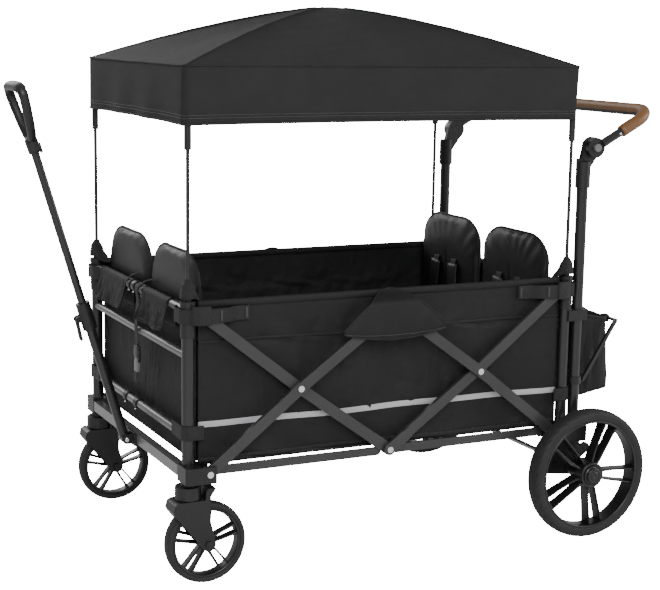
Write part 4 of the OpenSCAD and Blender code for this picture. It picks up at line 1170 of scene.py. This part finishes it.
# %% Caps on the rear axle
for side, sign in (("near", -1), ("far", 1)):
    lo, hi = corners("rear_axle")
    tip = hi[1] if sign > 0 else -lo[1]
    centre = np.array([(lo[0] + hi[0]) / 2, sign * tip, (lo[2] + hi[2]) / 2])
    section = np.array([[0.0004, -0.0055], [0.0182, -0.0055], [0.0186, -0.001], [0.0176, 0.0012],
                        [0.0135, 0.0016], [0.0125, 0.0006], [0.0110, 0.0006], [0.0100, 0.0020],
                        [0.0004, 0.0022]])
    section = section * [1, sign]
    cap = turned("axle_cap_" + side, section, centre, moulded, nodes[f"rear_rim_{side}"]["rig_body"], 48)
print("wheels done")

# %% [markdown]
# ## Push handle
# Leather is wrapped round the tube and closed by a dark seam along the inner face, with a turned-in edge
# where each end stops on the arm.

# %% Leather grip
grip_hi = corners("push_grip")[1]
button_lo, button_hi = corners("push_button_far")
grip_r = 0.0145
hinge = np.array([(button_lo[0] + button_hi[0]) / 2, 0, (button_lo[2] + button_hi[2]) / 2])
bar = np.array([grip_hi[0] - grip_r, 0, grip_hi[2] - grip_r])
arm_y = grip_hi[1] - grip_r
reach = np.linalg.norm(bar - hinge)
ahead = (bar - hinge) / reach
above = np.array([-ahead[2], 0, ahead[0]])
bend = 0.052


def handle_path(start, count=60):
    """Centre line of the U-shaped bar from arm to arm, and its inward direction."""
    arc = np.linspace(0, np.pi / 2, 22)
    along = np.concatenate([np.linspace(start, reach - bend, 16)[:-1], reach - bend + bend * np.sin(arc)])
    y = np.concatenate([np.full(15, arm_y), arm_y - bend + bend * np.cos(arc)])
    inward = np.concatenate([np.zeros(15), arc])
    middle = np.linspace(arm_y - bend, -(arm_y - bend), count)[1:-1]
    along = np.concatenate([along, np.full(len(middle), reach), along[::-1]])
    y = np.concatenate([y, middle, -y[::-1]])
    turn = np.concatenate([inward, np.full(len(middle), np.pi / 2), np.pi - inward[::-1]])
    path = hinge + along[:, None] * ahead + y[:, None] * [0, 1, 0]
    inner = -np.sin(turn)[:, None] * ahead - np.cos(turn)[:, None] * np.array([0, 1, 0])
    return path, inner


path, inner = handle_path(0.076)
share = np.linspace(-1, 1, len(path))
edge = 1 - 0.10 * smoothstep(np.abs(share), 0.975, 1.0)
puff = edge * (1 + 0.012 * ripple(21, 5, 6, 14, share * 2))
grip = sweep("leather_grip", path, grip_r * puff, grip_r * 0.94 * puff, leather, "push_handle",
             across=above, sides=28)
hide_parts("push_grip")
tilted = unit(inner * 0.9 - above * 0.44)
seam_path = (path + tilted * grip_r * 0.90)[6:-6]
seam = sweep("leather_grip_seam", seam_path, 0.0060, 0.0020, seam_thread, "push_handle",
             across=unit(np.cross(tilted, np.gradient(path, axis=0)))[6:-6], sides=12, square=0.6)
for index, end in enumerate((0, -1)):
    step = unit(path[1] - path[0]) if end == 0 else unit(path[-2] - path[-1])
    ring = np.array([path[end] + step * 0.0025, path[end] + step * 0.0075])
    cuff = sweep(f"leather_cuff_{index}", ring, grip_r * 0.985, grip_r * 0.93, leather, "push_handle",
                 across=above, sides=28)
for side, sign in (("near", -1), ("far", 1)):
    place = hinge + ahead * 0.068 + np.array([0, sign * (arm_y + 0.0096), 0])
    rivet = turned("arm_rivet_" + side,
                   np.array([[0.0003, -0.002], [0.0034, -0.002], [0.0030, 0.0008], [0.0003, 0.0016]])
                   * [1, sign],
                   place, chrome, "push_handle", 24)
print("leather grip reach", round(float(reach), 3))

# %% [markdown]
# ## Pull handle
# The grip is a loop, narrow where it leaves the tube and wide at the hand, with a soft grey pad on top.

# %% Loop grip
pull_hi = corners("pull_grip")[1]
pivot = np.array([corners("pull_tube_lower")[1][0] - 0.011, 0, corners("pull_tube_lower")[0][2] + 0.011])
lean = math.radians(16.7)
shaft = np.array([-math.sin(lean), 0, math.cos(lean)])
face_out = np.array([-math.cos(lean), 0, -math.sin(lean)])
loop_half = pull_hi[1]
loop_top = (pull_hi[2] - pivot[2]) / math.cos(lean) - 0.002
loop_low = loop_top - 0.158


def on_handle(y, z, x=0.0):
    """Points in the pull handle's own frame, as world points."""
    y, z = np.broadcast_arrays(np.asarray(y, float), np.asarray(z, float))
    return pivot + z[..., None] * shaft + y[..., None] * [0, 1, 0] + x * face_out


bar_r = 0.0108
outline = [(0, 0.030), (0.015, 0.035), (0.031, 0.056), (0.045, 0.086), (loop_half - bar_r, 0.124),
           (loop_half - bar_r - 0.003, 0.139),
           (loop_half - 0.026, 0.1465), (0.020, 0.1475), (0, 0.1475)]
half_loop = np.array(outline)
loop_points = np.vstack([half_loop, (half_loop * [-1, 1])[::-1][1:-1]])
loop_curve = through(loop_points, 120, closed=True)
loop_path = on_handle(loop_curve[:, 0], loop_low + loop_curve[:, 1])
loop_share = (loop_curve[:, 1] - 0.030) / 0.1175
loop = sweep("pull_loop", loop_path, 0.0095 + 0.0010 * loop_share, 0.0088 + 0.0016 * loop_share, moulded,
             "pull_upper",
             across=face_out, sides=20, square=0.85, closed=True)
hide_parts("pull_grip")
pad_y = np.linspace(-loop_half + 0.020, loop_half - 0.020, 26)
pad_drop = 0.006 * (np.abs(pad_y) / pad_y[-1])**5
pad = sweep("pull_loop_pad", on_handle(pad_y, loop_low + 0.1490 - pad_drop), 0.0122, 0.0100, pad_rubber,
            "pull_upper",
            across=face_out, sides=20, square=0.8)
neck_z = np.array([0.0, 0.001, 0.010, 0.022, 0.030, 0.036]) + loop_low
neck = sweep("pull_loop_neck", on_handle(0 * neck_z, neck_z),
             [0.0122, 0.0130, 0.0132, 0.0138, 0.0130, 0.009],
             [0.0124, 0.0132, 0.0140, 0.0168, 0.0165, 0.010], moulded, "pull_upper", across=face_out,
             sides=24, square=0.8)
catch = sweep("pull_loop_catch", on_handle(0 * neck_z[:4], neck_z[:4] - 0.004, -0.0145), 0.0030, 0.0050,
              moulded, "pull_upper",
              across=face_out, sides=12, square=0.5)
for index, y in enumerate((-0.0185, 0.0185)):
    head = turned(f"pull_pivot_head_{index}",
                  np.array([[0.0003, -0.001], [0.0062, -0.001], [0.0052, 0.0022], [0.0003, 0.0034]])
                  * [1, np.sign(y)],
                  pivot + [0, y, 0], chrome, "front_end", 24)
print("loop grip width", round(float(2 * loop_half), 3))

# %% [markdown]
# ## Basket
# The bag hangs open from its wire. Its walls slump between the corners and belly out near the floor.

# %% Basket bag
bag_lo, bag_hi = corners("basket_bag")
bag_mid = (bag_lo + bag_hi) / 2
bag_a, bag_b = (bag_hi[0] - bag_lo[0]) / 2, (bag_hi[1] - bag_lo[1]) / 2
wire_hi = corners("basket_frame")[1]
wire_x, wire_z = wire_hi[0] - 0.004, wire_hi[2] - 0.004
bag_reach = wire_x - 0.003 - bag_mid[0] - bag_a


def bag_points():
    """Rows from the open rim down the walls and in over the floor."""
    rows = []
    for v in np.linspace(0, 1, 30):
        belly = 0.004 * np.sin(np.pi * v**1.3) * np.sin(np.pi * v)
        ring = rounded_ring(bag_a - 0.001 + belly, bag_b - 0.003 + belly, 0.018, 36)
        along = np.arange(len(ring)) / len(ring)
        folds = 0.0011 * np.sin(along * 2 * np.pi * 11 + 3 * v)
        slump = folds + 0.0020 * ripple(5, 6, 1, 4, along * 5, v)
        ring = ring + unit(ring) * (slump * np.sin(np.pi * v)**0.7)[:, None]
        outward = smoothstep(ring[:, 0] / bag_a, -0.9, 1.0)
        ring[:, 0] += outward**3 * (bag_reach * (1 - smoothstep(v, 0, 0.4)) + 0.010
                                    * smoothstep(v, 0.55, 0.95))
        top = bag_hi[2] - 0.001 - 0.012 * outward
        foot = bag_lo[2] + 0.014 + 0.012 * outward
        rows.append(np.column_stack([ring, top + (foot - top) * v]))
    foot_ring = rows[-1]
    for r in (0.99, 0.95, 0.88, 0.75, 0.5, 0.25, 0.02):
        ring = foot_ring * [r, r, 1]
        rows.append(ring - [0, 0, 0.012 * (1 - r**8)])
    return np.array(rows) + [bag_mid[0], 0, 0]


bag_grid = bag_points()
bag = wall(surface("basket_cloth", bag_grid, tub_cloth, "rear_end", wrap=(False, True)), 0.0018)
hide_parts("basket_bag")
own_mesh(bag)
for name, row, radius in (("basket_rim_piping", 0, 0.0038), ("basket_foot_piping", 29, 0.0022)):
    cord = sweep(name, bag_grid[row], radius, radius * 0.8, piping_cloth, "rear_end", across=(0, 0, 1),
                 sides=10, closed=True)
    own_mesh(cord)
sleeve_y = np.linspace(-bag_b + 0.012, bag_b - 0.012, 90)
sag = 0.0012 * np.sin(sleeve_y * 60) + 0.0008 * np.sin(sleeve_y * 131)
sleeve_path = np.stack([np.full(90, wire_x - 0.0014), sleeve_y, wire_z - 0.002 + sag], -1)
sleeve = sweep("basket_wire_sleeve", sleeve_path, 0.0064, 0.0082 + sag, tub_cloth, "basket_wire",
               across=(1, 0, 0), sides=20)

# %% [markdown]
# ## Stage
# A pale floor, an even sky and three soft lights. Black cloth and paint only show their shape through what
# they mirror, so the lights are large and stand low at the sides.

# %% Floor, sky and lights
def area_light(name, place, aim, size, power):
    """Square soft light at a place, aimed at a point."""
    light = bpy.data.lights.new(name, "AREA")
    light.energy, light.size = power, size
    lamp = bpy.data.objects.new(name, light)
    bpy.context.scene.collection.objects.link(lamp)
    lamp.location = place
    lamp.rotation_mode = "QUATERNION"
    lamp.rotation_quaternion = (Vector(aim) - Vector(place)).to_track_quat("-Z", "Y")


floor_mesh = bpy.data.meshes.new("floor")
floor_mesh.from_pydata([(-30, -30, -0.001), (30, -30, -0.001), (30, 30, -0.001), (-30, 30, -0.001)], [],
                       [(0, 1, 2, 3)])
floor = bpy.data.objects.new("floor", floor_mesh)
bpy.context.scene.collection.objects.link(floor)
floor_paint = bpy.data.materials.new("floor_paint")
floor_paint.use_nodes = True
floor_paint.node_tree.nodes["Principled BSDF"].inputs["Base Color"].default_value = (0.86, 0.86, 0.86, 1)
floor_paint.node_tree.nodes["Principled BSDF"].inputs["Roughness"].default_value = 0.9
glow = math_node(floor_paint.node_tree, "MULTIPLY",
                 floor_paint.node_tree.nodes.new("ShaderNodeLightPath").outputs["Is Camera Ray"], 24.0)
floor_paint.node_tree.links.new(glow,
                                floor_paint.node_tree.nodes["Principled BSDF"].inputs["Emission Strength"])
floor_paint.node_tree.nodes["Principled BSDF"].inputs["Emission Color"].default_value = (1, 1, 1, 1)
floor_mesh.materials.append(floor_paint)

world = bpy.data.worlds.new("sky")
bpy.context.scene.world = world
world.use_nodes = True
world.node_tree.nodes["Background"].inputs["Color"].default_value = (1, 1, 1, 1)
sky_glow = math_node(world.node_tree, "MULTIPLY",
                     world.node_tree.nodes.new("ShaderNodeLightPath").outputs["Is Camera Ray"], 24.0)
sky_strength = math_node(world.node_tree, "ADD", sky_glow, 0.6)
world.node_tree.links.new(sky_strength, world.node_tree.nodes["Background"].inputs["Strength"])
middle = (mid_x, 0, 0.6)
area_light("key_light", (-1.3, -3.8, 3.0), middle, 2.2, 210)
area_light("side_light", (3.4, -1.6, 1.6), middle, 1.6, 60)
area_light("back_light", (-1.0, 3.6, 2.6), middle, 2.4, 70)

# %% [markdown]
# ## Camera
# A long lens from a little above the rim, a quarter turn to the left of the wagon's side.

# %% Camera
azimuth, elevation, roll = math.radians(-25.78), math.radians(10.01), math.radians(0.895)
distance = 3.622
target = Vector((mid_x + 0.0114, 0, 0.540))
back = Vector((math.sin(azimuth) * math.cos(elevation), -math.cos(azimuth) * math.cos(elevation),
               math.sin(elevation)))
side = (-back).cross(Vector((0, 0, 1))).normalized()
up = side.cross(-back)
turned_side = side * math.cos(roll) + up * math.sin(roll)
turned_up = up * math.cos(roll) - side * math.sin(roll)
camera_data = bpy.data.cameras.new("camera")
camera_data.sensor_width = 36
camera_data.lens = 83.03
camera = bpy.data.objects.new("camera", camera_data)
bpy.context.scene.collection.objects.link(camera)
camera.matrix_world = Matrix.Translation(target + back
                                         * distance) @ Matrix((turned_side, turned_up,
                                                               back)).transposed().to_4x4()
bpy.context.scene.camera = camera

# %% [markdown]
# ## End


print("pieces dressed")
